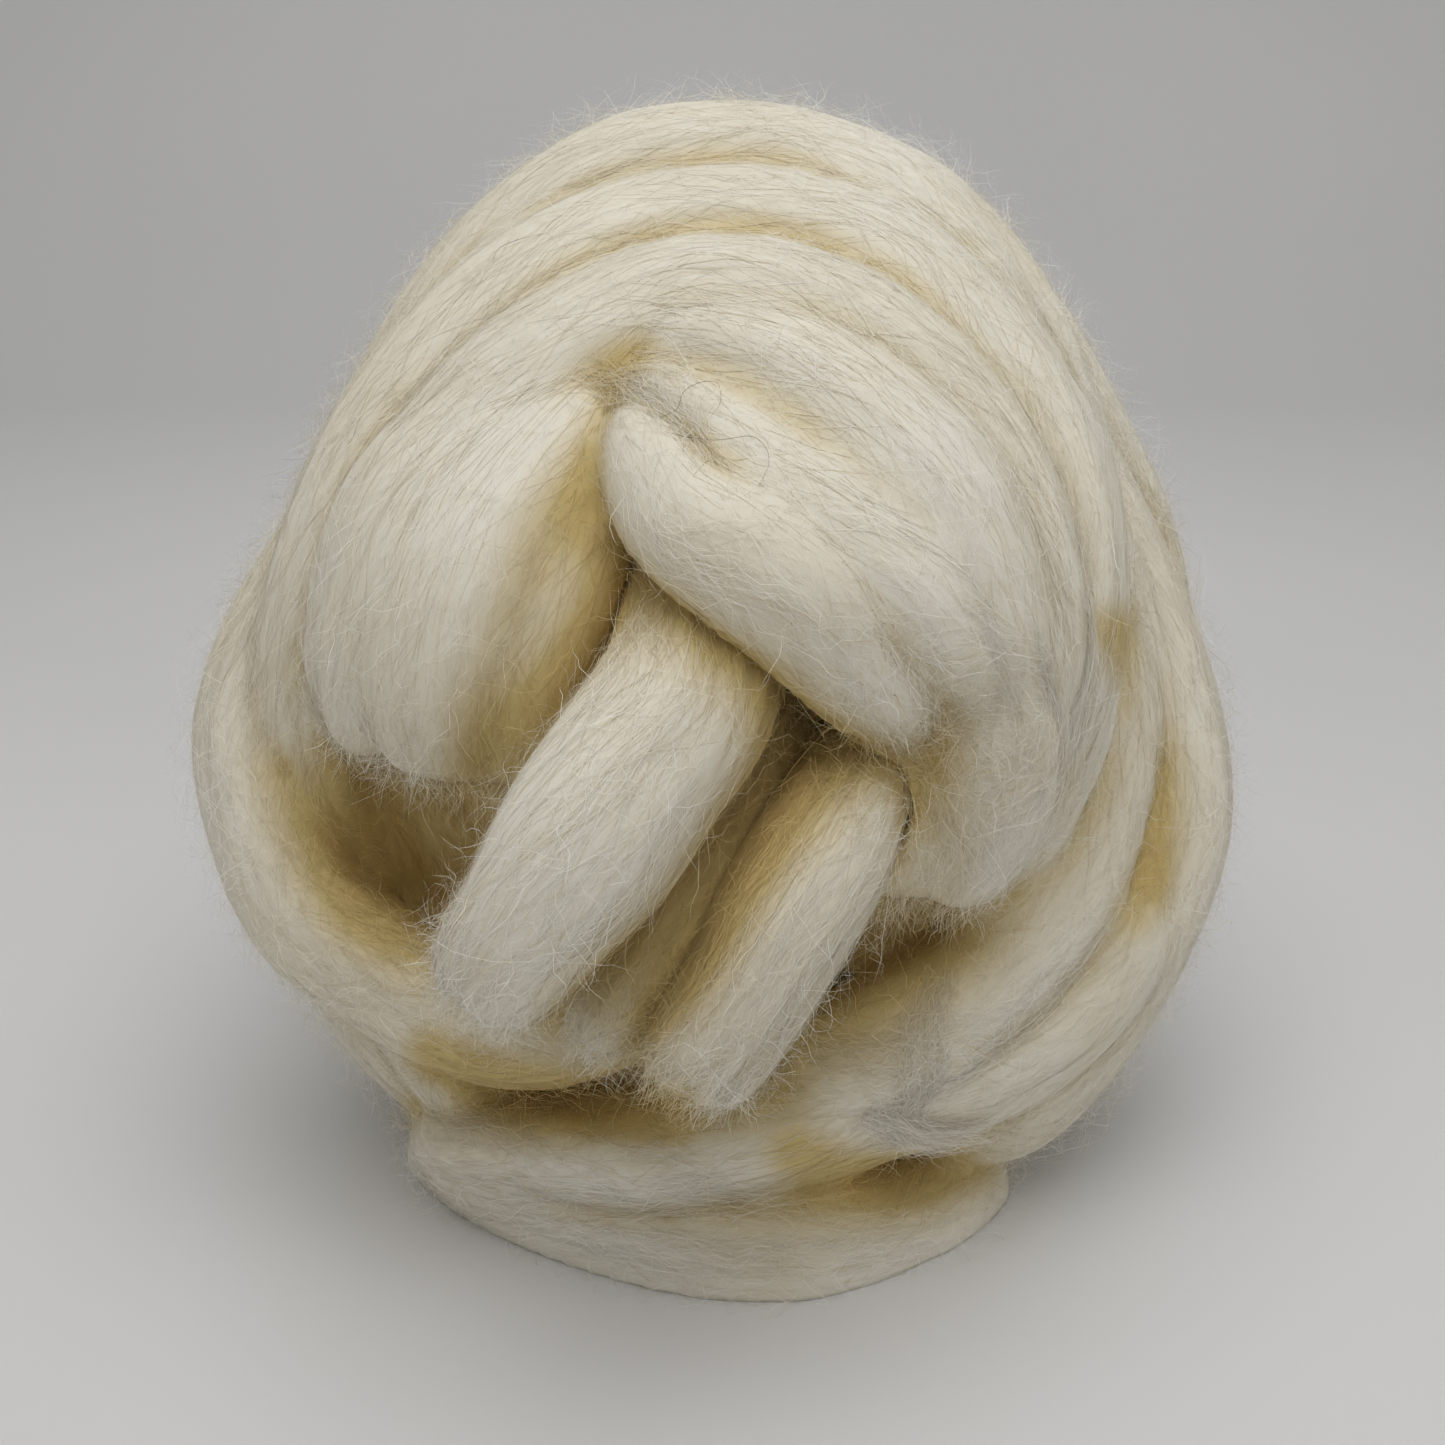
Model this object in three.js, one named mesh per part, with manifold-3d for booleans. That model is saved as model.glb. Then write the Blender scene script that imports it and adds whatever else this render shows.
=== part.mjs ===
import * as THREE from "three";
import { mergeVertices } from "three/addons/utils/BufferGeometryUtils.js";
import Module from "manifold-3d";

// A loose ball of combed fibre: broad strands folded over one another, with three loose ends in front.
// Millimetres, +Z up, the front towards -Y, the origin in the middle of the flat spot it rests on.

// The ball, from whose middle every strand's thickness is measured.
const BALL_MIDDLE = new THREE.Vector3(0, 5, 95);

// Strands are laid out as they are seen from the front and a little above.
const SIGHT_TILT = THREE.MathUtils.degToRad(20);
const SIGHT_DISTANCE = 350;
const SIGHT_HEIGHT = 80;

// Each strand is an oval tube whose tips are round over a share of its length, where its rings crowd.
const SIDES = 10;
const RINGS_FOR_EACH_ROW = 1.5;
const RINGS_FOR_THE_TIPS = 4;
const ROUND_TIP = 0.09;
const TIP_CROWDING = 0.6;
const TIP_TOLERANCE = 1e-6;
const CURVE_TENSION = 0.5;

// Clear space between the bundle and the loose ends, which are pieces of their own.
const GAP = 0.3;

const FIBRE_COLOUR = 0xe9e2d0;
const FIBRE_ROUGHNESS = 0.95;

// Soft middle of the ball, hidden under its strands, and the broad seat below it.
const CORES = [
  { x: 5, y: 11, z: 91, halfX: 72, halfY: 76, halfZ: 72 },
  { x: 0, y: 8, z: 26, halfX: 58, halfY: 60, halfZ: 34 },
];
const CORE_SIDES = 24;
const CORE_RINGS = 14;

// Strands of the front. Columns: right, up, near, half_width, half_thick.
const STRANDS = {
  // The outermost arch: up the right side, over the crown, and round the left loop to the front.
  arch_outer: [
    [46, -38, 54, 9, 6],
    [59, -16, 52, 14, 10],
    [65, 14, 46, 18, 12],
    [63, 46, 38, 20, 13],
    [54, 75, 28, 22, 14],
    [35, 97, 20, 24, 15],
    [9, 107, 14, 24, 15],
    [-20, 104, 14, 24, 15],
    [-44, 87, 16, 22, 14],
    [-60, 62, 20, 21, 14],
    [-71, 38, 25, 19, 14],
    [-84, 17, 29, 17, 14],
    [-91, -2, 33, 14, 13],
    [-90, -21, 38, 12, 11],
    [-82, -38, 42, 12, 11],
    [-68, -49, 46, 12, 11],
    [-52, -58, 50, 12, 11],
    [-31, -62, 52, 11, 10],
    [-9, -62, 50, 8, 7],
  ],
  // The arch inside it, whose left leg is the back wall of the cave.
  arch_middle: [
    [-30, -42, 22, 9, 8],
    [-48, -44, 20, 12, 10],
    [-64, -36, 22, 13, 11],
    [-76, -18, 30, 13, 11],
    [-81, 4, 40, 14, 11],
    [-76, 28, 46, 17, 12],
    [-64, 54, 46, 19, 13],
    [-45, 76, 42, 20, 14],
    [-22, 91, 38, 20, 14],
    [6, 95, 38, 20, 14],
    [32, 87, 40, 20, 14],
    [51, 69, 46, 19, 13],
    [63, 45, 54, 17, 12],
    [65, 20, 60, 15, 11],
    [59, -4, 62, 13, 10],
    [51, -22, 60, 9, 7],
  ],
  // The innermost arch of the dome.
  arch_inner: [
    [-68, 24, 56, 13, 11],
    [-56, 46, 60, 15, 12],
    [-36, 66, 60, 16, 13],
    [-8, 80, 58, 17, 13],
    [20, 76, 62, 17, 13],
    [42, 58, 66, 16, 12],
    [55, 34, 70, 14, 11],
    [58, 10, 70, 12, 10],
    [54, -10, 66, 9, 7],
  ],
  // Three strands of the left lobe, which falls from the peak to a frayed edge.
  lobe_a: [
    [-22, 72, 60, 9, 7],
    [-42, 60, 64, 15, 10],
    [-58, 42, 66, 17, 12],
    [-66, 22, 64, 16, 12],
    [-68, 6, 60, 14, 11],
    [-67, -5, 56, 10, 8],
  ],
  lobe_b: [
    [-22, 66, 66, 8, 8],
    [-36, 50, 72, 13, 10],
    [-48, 32, 75, 15, 12],
    [-54, 14, 74, 14, 12],
    [-55, 0, 70, 12, 11],
    [-54, -9, 66, 9, 8],
  ],
  lobe_c: [
    [-20, 61, 68, 6, 7],
    [-25, 43, 72, 10, 9],
    [-32, 26, 74, 12, 11],
    [-38, 11, 73, 12, 11],
    [-40, -2, 70, 11, 10],
    [-41, -10, 66, 8, 8],
  ],
  // Two strands of the fold that falls from the peak to the right.
  peak_lobe: [
    [-18, 74, 64, 8, 7],
    [0, 72, 70, 12, 10],
    [20, 62, 76, 15, 12],
    [36, 46, 80, 16, 13],
    [47, 28, 80, 14, 12],
    [53, 10, 76, 12, 10],
    [54, -4, 70, 8, 7],
  ],
  peak_ridge: [
    [-19, 68, 70, 6, 6],
    [-4, 57, 79, 9, 9],
    [12, 44, 86, 11, 10],
    [27, 32, 88, 11, 10],
    [40, 20, 85, 11, 10],
    [49, 6, 79, 9, 8],
    [52, -6, 72, 6, 6],
  ],
  // The bright flap from the peak across the roots of the loose ends.
  flap: [
    [-19, 62, 76, 4, 5],
    [-15, 52, 86, 8, 6],
    [-8, 41, 93, 10, 6],
    [5, 32, 97, 11, 6],
    [16, 23, 96, 11, 6],
    [25, 12, 92, 9, 5],
    [33, 3, 87, 7, 5],
    [38, -3, 80, 4, 4],
  ],
  // The frayed end of the fold, low on the right, and the one behind it.
  frayed_end: [
    [44, 18, 80, 9, 8],
    [53, 2, 76, 13, 9],
    [54, -14, 72, 13, 9],
    [49, -27, 67, 10, 7],
    [44, -36, 62, 5, 4],
  ],
  frayed_back: [
    [30, 6, 74, 9, 8],
    [35, -8, 74, 11, 9],
    [36, -22, 70, 11, 8],
    [33, -34, 64, 6, 5],
  ],
  // The fold inside the cave on the left.
  cave_fold: [
    [-74, 4, 30, 8, 6],
    [-64, -8, 34, 8, 7],
    [-56, -20, 34, 8, 7],
    [-54, -34, 30, 8, 7],
    [-58, -46, 28, 6, 6],
  ],
  // The two strands that lie behind the dome on the right.
  right_outer: [
    [28, 92, -26, 12, 10],
    [46, 79, -14, 15, 12],
    [61, 60, -4, 17, 12],
    [74, 34, 4, 18, 13],
    [84, 8, 8, 18, 13],
    [88, -18, 10, 18, 13],
    [80, -42, 12, 18, 13],
    [68, -61, 16, 17, 13],
    [55, -73, 20, 16, 13],
    [40, -76, 28, 12, 11],
  ],
  right_inner: [
    [69, 46, 18, 11, 9],
    [74, 22, 22, 11, 10],
    [75, 0, 25, 12, 11],
    [71, -20, 31, 13, 12],
    [63, -38, 39, 14, 12],
    [49, -53, 45, 14, 12],
    [32, -64, 48, 13, 12],
    [12, -70, 48, 10, 10],
  ],
  // The strand on the left, behind the loop.
  left_outer: [
    [-36, 88, -10, 12, 10],
    [-54, 70, -6, 16, 12],
    [-68, 44, -2, 18, 13],
    [-77, 16, 4, 18, 14],
    [-80, -10, 8, 18, 15],
    [-74, -36, 10, 18, 15],
    [-62, -58, 12, 17, 14],
    [-46, -74, 12, 14, 12],
  ],
  // The strand that closes the left side behind the loop.
  left_inner: [
    [-66, 50, 12, 10, 8],
    [-72, 26, 16, 12, 9],
    [-74, 2, 20, 13, 10],
    [-72, -22, 22, 13, 10],
    [-66, -44, 24, 13, 10],
    [-56, -64, 26, 11, 10],
    [-44, -78, 26, 9, 9],
  ],
  // The flow from the right side down to the front, and the fold on the surface that runs out of it.
  base_sweep: [
    [84, -34, 24, 10, 9],
    [72, -52, 32, 13, 11],
    [54, -65, 38, 14, 12],
    [32, -73, 42, 13, 12],
    [8, -81, 42, 14, 12],
    [-18, -86, 36, 15, 12],
    [-42, -86, 28, 13, 11],
    [-60, -82, 16, 10, 9],
  ],
  base_middle: [
    [-58, -84, 12, 8, 7],
    [-46, -85, 26, 12, 9],
    [-28, -87, 36, 14, 10],
    [-8, -88, 42, 12, 9],
    [8, -88, 44, 6, 5],
  ],
  base_front: [
    [-60, -81, 0, 7, 7],
    [-49, -88, 13, 11, 11],
    [-30, -93, 23, 15, 15],
    [-6, -97, 30, 17, 18],
    [13, -101, 33, 14, 16],
    [30, -101, 27, 12, 13],
    [43, -95, 17, 11, 12],
    [52, -86, 4, 9, 10],
  ],
};

// Loose ends, which come out from under the flap. Columns as for the strands.
const ENDS = {
  end_left: [
    [-11, 40, 66, 9, 8],
    [-5, 24, 78, 12, 10],
    [-7, 6, 87, 14, 12],
    [-17, -9, 93, 14, 12],
    [-27, -24, 95, 14, 12],
    [-37, -38, 93, 12, 11],
    [-44, -48, 89, 11, 10],
    [-49, -55, 85, 9, 8],
  ],
  end_middle: [
    [10, 14, 60, 8, 8],
    [8, -4, 68, 11, 9],
    [2, -20, 73, 11, 9],
    [-7, -36, 76, 10, 9],
    [-17, -52, 75, 9, 8],
    [-27, -64, 70, 6, 6],
  ],
  end_right: [
    [30, 4, 62, 6, 6],
    [27, -10, 74, 9, 9],
    [21, -24, 82, 11, 11],
    [13, -38, 86, 11, 11],
    [5, -53, 86, 10, 10],
    [-3, -65, 83, 10, 9],
    [-8, -73, 80, 8, 7],
  ],
};

// Wraps of the sides, back and base, which wind round a pole through the ball's middle.
// Columns: turn and lift of the pole in degrees, first and last angle from the top,
// first and last offset along the pole, first and last reach from it, half_width, half_thick.
const WRAPS = {
  back_coil: [8, -10, -30, 560, 84, 58, 5, 56, 17, 14],
  back_ring: [8, -10, 190, 610, 58, 38, 56, 74, 18, 14],
  side_ring: [4, -8, 235, 625, 36, 14, 76, 84, 19, 14],
  cross_left: [-52, 14, -8, 106, 44, 44, 76, 76, 19, 13],
  cross_right: [48, 10, -100, 24, 46, 46, 74, 74, 19, 13],
  base_belt: [-113, 72, 198, 52, -60, -58, 88, 58, 17, 14],
};
const WRAP_ROW_TURN = 28;
const WRAP_WAVE = 0.03;
const WRAP_WAVE_STEP = 2.3;
const WRAP_TAPER = 0.25;

// The block below the surface that the ball rests on, which cuts its flat spot.
const BELOW_SIDE = 600;
const BELOW_DEPTH = 100;

function sight(right, up, near) {
  const shrink = (SIGHT_DISTANCE - near) / SIGHT_DISTANCE;
  const sine = Math.sin(SIGHT_TILT);
  const cosine = Math.cos(SIGHT_TILT);
  return new THREE.Vector3(
    right * shrink,
    up * shrink * sine - near * cosine,
    SIGHT_HEIGHT + up * shrink * cosine + near * sine,
  );
}

function strandRows(table) {
  return table.map(([right, up, near, halfWidth, halfThick]) => ({
    place: sight(right, up, near),
    halfWidth,
    halfThick,
  }));
}

function wrapRows([turn, lift, first, last, offset, offsetEnd, reach, reachEnd, halfWidth, halfThick]) {
  const turned = THREE.MathUtils.degToRad(turn);
  const lifted = THREE.MathUtils.degToRad(lift);
  const across = new THREE.Vector3(Math.cos(turned), -Math.sin(turned), 0);
  const pole = new THREE.Vector3(
    Math.sin(turned) * Math.cos(lifted),
    Math.cos(turned) * Math.cos(lifted),
    Math.sin(lifted),
  );
  const upward = across.clone().cross(pole);
  const steps = Math.round(Math.abs(last - first) / WRAP_ROW_TURN) + 3;
  return Array.from({ length: steps + 1 }, (_, index) => {
    const share = index / steps;
    const angle = THREE.MathUtils.degToRad(THREE.MathUtils.lerp(first, last, share));
    const wave = 1 + WRAP_WAVE * Math.sin(WRAP_WAVE_STEP * index + offset);
    const radius = THREE.MathUtils.lerp(reach, reachEnd, share) * wave;
    const taper = 1 - WRAP_TAPER + WRAP_TAPER * Math.sin(Math.PI * share);
    return {
      place: BALL_MIDDLE.clone()
        .addScaledVector(pole, THREE.MathUtils.lerp(offset, offsetEnd, share))
        .addScaledVector(across, radius * Math.sin(angle))
        .addScaledVector(upward, radius * Math.cos(angle)),
      halfWidth: halfWidth * taper,
      halfThick: halfThick * taper,
    };
  });
}

function curveThrough(points) {
  return new THREE.CatmullRomCurve3(points, false, "catmullrom", CURVE_TENSION);
}

// An oval tube with round ends: a sphere's own grid, laid round and along the curve through the rows.
function strandGeometry(rows, grow = 0) {
  const path = curveThrough(rows.map((row) => row.place));
  const halves = curveThrough(rows.map((row) => new THREE.Vector3(row.halfWidth, row.halfThick, 0)));
  const rings = Math.round(RINGS_FOR_EACH_ROW * rows.length + RINGS_FOR_THE_TIPS);
  const geometry = new THREE.SphereGeometry(1, SIDES, rings);
  const position = geometry.attributes.position;
  const uv = geometry.attributes.uv;
  for (let index = 0; index < position.count; index += 1) {
    const share = uv.getY(index);
    const along = share - TIP_CROWDING * Math.sin(2 * Math.PI * share) / (2 * Math.PI);
    const middle = path.getPoint(along);
    const ahead = path.getTangent(along);
    const outward = middle.clone().sub(BALL_MIDDLE).projectOnPlane(ahead).normalize();
    const sideways = outward.clone().cross(ahead);
    const half = halves.getPoint(along);
    const end = Math.min(1, along / ROUND_TIP, (1 - along) / ROUND_TIP);
    const fullness = Math.sqrt(Math.max(0, 1 - (1 - end) ** 2));
    const angle = 2 * Math.PI * uv.getX(index);
    const isTip = share < TIP_TOLERANCE || share > 1 - TIP_TOLERANCE;
    const tipPush = share < 0.5 ? -grow : grow;
    const point = isTip
      ? middle.addScaledVector(ahead, tipPush)
      : middle
        .addScaledVector(sideways, (half.x * fullness + grow) * Math.cos(angle))
        .addScaledVector(outward, (half.y * fullness + grow) * Math.sin(angle));
    position.setXYZ(index, point.x, point.y, point.z);
  }
  return geometry;
}

function coreGeometry({ x, y, z, halfX, halfY, halfZ }) {
  return new THREE.SphereGeometry(1, CORE_SIDES, CORE_RINGS)
    .rotateX(Math.PI / 2)
    .scale(halfX, halfY, halfZ)
    .translate(x, y, z);
}

const wasm = await Module();
wasm.setup();

function toSolid(geometry) {
  const bare = geometry.clone();
  bare.deleteAttribute("normal");
  bare.deleteAttribute("uv");
  const merged = mergeVertices(bare);
  return new wasm.Manifold(new wasm.Mesh({
    numProp: 3,
    vertProperties: Float32Array.from(merged.attributes.position.array),
    triVerts: Uint32Array.from(merged.index.array),
  }));
}

function toGeometry(solid) {
  const mesh = solid.getMesh();
  const geometry = new THREE.BufferGeometry();
  geometry.setAttribute("position", new THREE.BufferAttribute(mesh.vertProperties, mesh.numProp));
  geometry.setIndex(new THREE.BufferAttribute(mesh.triVerts, 1));
  geometry.computeVertexNormals();
  return geometry;
}

// The largest of the bodies, without the closed bubbles between the strands.
function largestBody(solid) {
  return solid.decompose().reduce((best, body) => (body.volume() > best.volume() ? body : best));
}

function bundleSolid() {
  const strands = Object.values(STRANDS).map(strandRows);
  const wraps = Object.values(WRAPS).map(wrapRows);
  const solids = [
    ...CORES.map((core) => toSolid(coreGeometry(core))),
    ...[...strands, ...wraps].map((rows) => toSolid(strandGeometry(rows))),
  ];
  const below = new THREE.BoxGeometry(BELOW_SIDE, BELOW_SIDE, BELOW_DEPTH)
    .translate(0, 0, -BELOW_DEPTH / 2);
  const whole = solids.reduce((sum, next) => sum.add(next)).subtract(toSolid(below));
  const clear = Object.values(ENDS).reduce(
    (rest, table) => rest.subtract(toSolid(strandGeometry(strandRows(table), GAP))), whole,
  );
  return largestBody(clear);
}

// Each end is cut clear of the ends before it where they meet at their roots.
function endSolids() {
  const solids = {};
  let taken = null;
  for (const [name, table] of Object.entries(ENDS)) {
    const rows = strandRows(table);
    const solid = toSolid(strandGeometry(rows));
    solids[name] = taken ? largestBody(solid.subtract(taken)) : solid;
    const grown = toSolid(strandGeometry(rows, GAP));
    taken = taken ? taken.add(grown) : grown;
  }
  return solids;
}

function piece(name, solid) {
  const material = new THREE.MeshStandardMaterial({
    color: FIBRE_COLOUR,
    roughness: FIBRE_ROUGHNESS,
    metalness: 0,
  });
  const mesh = new THREE.Mesh(toGeometry(solid), material);
  mesh.name = name;
  return mesh;
}

const combedTop = new THREE.Group();
combedTop.add(piece("bundle", bundleSolid()));
for (const [name, solid] of Object.entries(endSolids())) {
  combedTop.add(piece(name, solid));
}

export default combedTop;
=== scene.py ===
import math

import bpy
import numpy as np
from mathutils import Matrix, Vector
from mathutils.bvhtree import BVHTree
from mathutils.kdtree import KDTree


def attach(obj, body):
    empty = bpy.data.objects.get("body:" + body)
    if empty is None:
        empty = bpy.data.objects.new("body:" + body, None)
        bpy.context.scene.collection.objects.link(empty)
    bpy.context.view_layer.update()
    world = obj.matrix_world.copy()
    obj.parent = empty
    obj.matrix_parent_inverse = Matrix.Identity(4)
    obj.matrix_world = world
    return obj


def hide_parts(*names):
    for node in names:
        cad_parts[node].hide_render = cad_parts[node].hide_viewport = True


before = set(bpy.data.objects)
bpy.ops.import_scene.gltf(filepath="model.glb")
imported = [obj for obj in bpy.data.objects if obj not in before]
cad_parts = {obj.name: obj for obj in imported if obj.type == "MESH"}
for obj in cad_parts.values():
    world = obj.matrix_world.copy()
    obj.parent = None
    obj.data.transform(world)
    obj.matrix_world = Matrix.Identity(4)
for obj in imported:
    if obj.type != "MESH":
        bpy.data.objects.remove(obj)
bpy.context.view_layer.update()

# A loose ball of combed fibre: a soft skin over the folded strands, and fine fibres laid along them.
# Sizes are in millimetres, as in the part's source, but where metres are named. The meshes are in metres.

MM = 0.001
rng = np.random.default_rng(7)

# The ball's middle, and the sight in which the strands are laid out: a place in it is so far right and up
# of the point that the camera aims at, and so far nearer to the camera.
BALL_MIDDLE = np.array([0.0, 5.0, 95.0])
SIGHT_TILT = math.radians(20)
SIGHT_DISTANCE = 350.0
SIGHT_HEIGHT = 80.0
SIGHT_WIDTH = 289.0
TOWARD_EYE = np.array([0, -math.cos(SIGHT_TILT), math.sin(SIGHT_TILT)])
EYE = TOWARD_EYE * SIGHT_DISTANCE + (0, 0, SIGHT_HEIGHT)

# The round forms inside the bundle.
CORES = [
    dict(x=5, y=11, z=91, half_x=72, half_y=76, half_z=72),
    dict(x=0, y=8, z=26, half_x=58, half_y=60, half_z=34),
]

# Strands of the front. Columns: right, up, near, half_width, half_thick.
STRANDS = {
    # The outermost arch: up the right side, over the crown, and round the left loop to the front.
    "arch_outer": [
        (46, -38, 54, 9, 6), (59, -16, 52, 14, 10), (65, 14, 46, 18, 12), (63, 46, 38, 20, 13),
        (54, 75, 28, 22, 14), (35, 97, 20, 24, 15), (9, 107, 14, 24, 15), (-20, 104, 14, 24, 15),
        (-44, 87, 16, 22, 14), (-60, 62, 20, 21, 14), (-71, 38, 25, 19, 14), (-84, 17, 29, 17, 14),
        (-91, -2, 33, 14, 13), (-90, -21, 38, 12, 11), (-82, -38, 42, 12, 11), (-68, -49, 46, 12, 11),
        (-52, -58, 50, 12, 11), (-31, -62, 52, 11, 10), (-9, -62, 50, 8, 7),
    ],
    # The arch inside it, whose left leg is the back wall of the cave.
    "arch_middle": [
        (-30, -42, 22, 9, 8), (-48, -44, 20, 12, 10), (-64, -36, 22, 13, 11), (-76, -18, 30, 13, 11),
        (-81, 4, 40, 14, 11), (-76, 28, 46, 17, 12), (-64, 54, 46, 19, 13), (-45, 76, 42, 20, 14),
        (-22, 91, 38, 20, 14), (6, 95, 38, 20, 14), (32, 87, 40, 20, 14), (51, 69, 46, 19, 13),
        (63, 45, 54, 17, 12), (65, 20, 60, 15, 11), (59, -4, 62, 13, 10), (51, -22, 60, 9, 7),
    ],
    # The innermost arch of the dome.
    "arch_inner": [
        (-68, 24, 56, 13, 11), (-56, 46, 60, 15, 12), (-36, 66, 60, 16, 13), (-8, 80, 58, 17, 13),
        (20, 76, 62, 17, 13), (42, 58, 66, 16, 12), (55, 34, 70, 14, 11), (58, 10, 70, 12, 10),
        (54, -10, 66, 9, 7),
    ],
    # Three strands of the left lobe, which falls from the peak to a frayed edge.
    "lobe_a": [
        (-22, 72, 60, 9, 7), (-42, 60, 64, 15, 10), (-58, 42, 66, 17, 12), (-66, 22, 64, 16, 12),
        (-68, 6, 60, 14, 11), (-67, -5, 56, 10, 8),
    ],
    "lobe_b": [
        (-22, 66, 66, 8, 8), (-36, 50, 72, 13, 10), (-48, 32, 75, 15, 12), (-54, 14, 74, 14, 12),
        (-55, 0, 70, 12, 11), (-54, -9, 66, 9, 8),
    ],
    "lobe_c": [
        (-20, 61, 68, 6, 7), (-25, 43, 72, 10, 9), (-32, 26, 74, 12, 11), (-38, 11, 73, 12, 11),
        (-40, -2, 70, 11, 10), (-41, -10, 66, 8, 8),
    ],
    # Two strands of the fold that falls from the peak to the right.
    "peak_lobe": [
        (-18, 74, 64, 8, 7), (0, 72, 70, 12, 10), (20, 62, 76, 15, 12), (36, 46, 80, 16, 13),
        (47, 28, 80, 14, 12), (53, 10, 76, 12, 10), (54, -4, 70, 8, 7),
    ],
    "peak_ridge": [
        (-19, 68, 70, 6, 6), (-4, 57, 79, 9, 9), (12, 44, 86, 11, 10), (27, 32, 88, 11, 10),
        (40, 20, 85, 11, 10), (49, 6, 79, 9, 8), (52, -6, 72, 6, 6),
    ],
    # The bright flap from the peak across the roots of the loose ends.
    "flap": [
        (-19, 62, 76, 4, 5), (-15, 52, 86, 8, 6), (-8, 41, 93, 10, 6), (5, 32, 97, 11, 6),
        (16, 23, 96, 11, 6), (25, 12, 92, 9, 5), (33, 3, 87, 7, 5), (38, -3, 80, 4, 4),
    ],
    # The frayed end of the fold, low on the right, and the one behind it.
    "frayed_end": [
        (44, 18, 80, 9, 8), (53, 2, 76, 13, 9), (54, -14, 72, 13, 9), (49, -27, 67, 10, 7),
        (44, -36, 62, 5, 4),
    ],
    "frayed_back": [
        (30, 6, 74, 9, 8), (35, -8, 74, 11, 9), (36, -22, 70, 11, 8), (33, -34, 64, 6, 5),
    ],
    # The fold inside the cave on the left.
    "cave_fold": [
        (-74, 4, 30, 8, 6), (-64, -8, 34, 8, 7), (-56, -20, 34, 8, 7), (-54, -34, 30, 8, 7),
        (-58, -46, 28, 6, 6),
    ],
    # The two strands that lie behind the dome on the right.
    "right_outer": [
        (28, 92, -26, 12, 10), (46, 79, -14, 15, 12), (61, 60, -4, 17, 12), (74, 34, 4, 18, 13),
        (84, 8, 8, 18, 13), (88, -18, 10, 18, 13), (80, -42, 12, 18, 13), (68, -61, 16, 17, 13),
        (55, -73, 20, 16, 13), (40, -76, 28, 12, 11),
    ],
    "right_inner": [
        (69, 46, 18, 11, 9), (74, 22, 22, 11, 10), (75, 0, 25, 12, 11), (71, -20, 31, 13, 12),
        (63, -38, 39, 14, 12), (49, -53, 45, 14, 12), (32, -64, 48, 13, 12), (12, -70, 48, 10, 10),
    ],
    # The strand on the left, behind the loop, and the one that closes the side between them.
    "left_outer": [
        (-36, 88, -10, 12, 10), (-54, 70, -6, 16, 12), (-68, 44, -2, 18, 13), (-77, 16, 4, 18, 14),
        (-80, -10, 8, 18, 15), (-74, -36, 10, 18, 15), (-62, -58, 12, 17, 14), (-46, -74, 12, 14, 12),
    ],
    "left_inner": [
        (-66, 50, 12, 10, 8), (-72, 26, 16, 12, 9), (-74, 2, 20, 13, 10), (-72, -22, 22, 13, 10),
        (-66, -44, 24, 13, 10), (-56, -64, 26, 11, 10), (-44, -78, 26, 9, 9),
    ],
    # The flow from the right side down to the front, and the fold on the surface that runs out of it.
    "base_sweep": [
        (84, -34, 24, 10, 9), (72, -52, 32, 13, 11), (54, -65, 38, 14, 12), (32, -73, 42, 13, 12),
        (8, -81, 42, 14, 12), (-18, -86, 36, 15, 12), (-42, -86, 28, 13, 11), (-60, -82, 16, 10, 9),
    ],
    "base_middle": [
        (-58, -84, 12, 8, 7), (-46, -85, 26, 12, 9), (-28, -87, 36, 14, 10), (-8, -88, 42, 12, 9),
        (8, -88, 44, 6, 5),
    ],
    "base_front": [
        (-60, -81, 0, 7, 7), (-49, -88, 13, 11, 11), (-30, -93, 23, 15, 15), (-6, -97, 30, 17, 18),
        (13, -101, 33, 14, 16), (30, -101, 27, 12, 13), (43, -95, 17, 11, 12), (52, -86, 4, 9, 10),
    ],
}

# Loose ends, which come out from under the flap. Columns as for the strands.
ENDS = {
    "end_left": [
        (-11, 40, 66, 9, 8), (-5, 24, 78, 12, 10), (-7, 6, 87, 14, 12), (-17, -9, 93, 14, 12),
        (-27, -24, 95, 14, 12), (-37, -38, 93, 12, 11), (-44, -48, 89, 11, 10), (-49, -55, 85, 9, 8),
    ],
    "end_middle": [
        (10, 14, 60, 8, 8), (8, -4, 68, 11, 9), (2, -20, 73, 11, 9), (-7, -36, 76, 10, 9),
        (-17, -52, 75, 9, 8), (-27, -64, 70, 6, 6),
    ],
    "end_right": [
        (30, 4, 62, 6, 6), (27, -10, 74, 9, 9), (21, -24, 82, 11, 11), (13, -38, 86, 11, 11),
        (5, -53, 86, 10, 10), (-3, -65, 83, 10, 9), (-8, -73, 80, 8, 7),
    ],
}

# Wraps of the sides, back and base, which wind round a pole through the ball's middle.
# Columns: turn and lift of the pole in degrees, first and last angle from the top,
# first and last offset along the pole, first and last reach from it, half_width, half_thick.
WRAPS = {
    "back_coil": (8, -10, -30, 560, 84, 58, 5, 56, 17, 14),
    "back_ring": (8, -10, 190, 610, 58, 38, 56, 74, 18, 14),
    "side_ring": (4, -8, 235, 625, 36, 14, 76, 84, 19, 14),
    "cross_left": (-52, 14, -8, 106, 44, 44, 76, 76, 19, 13),
    "cross_right": (48, 10, -100, 24, 46, 46, 74, 74, 19, 13),
    "base_belt": (-113, 72, 198, 52, -60, -58, 88, 58, 17, 14),
}
WRAP_ROW_TURN = 28
WRAP_SPARE_ROWS = 3
WRAP_WAVE = 0.03
WRAP_WAVE_STEP = 2.3
WRAP_TAPER = 0.25

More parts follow.
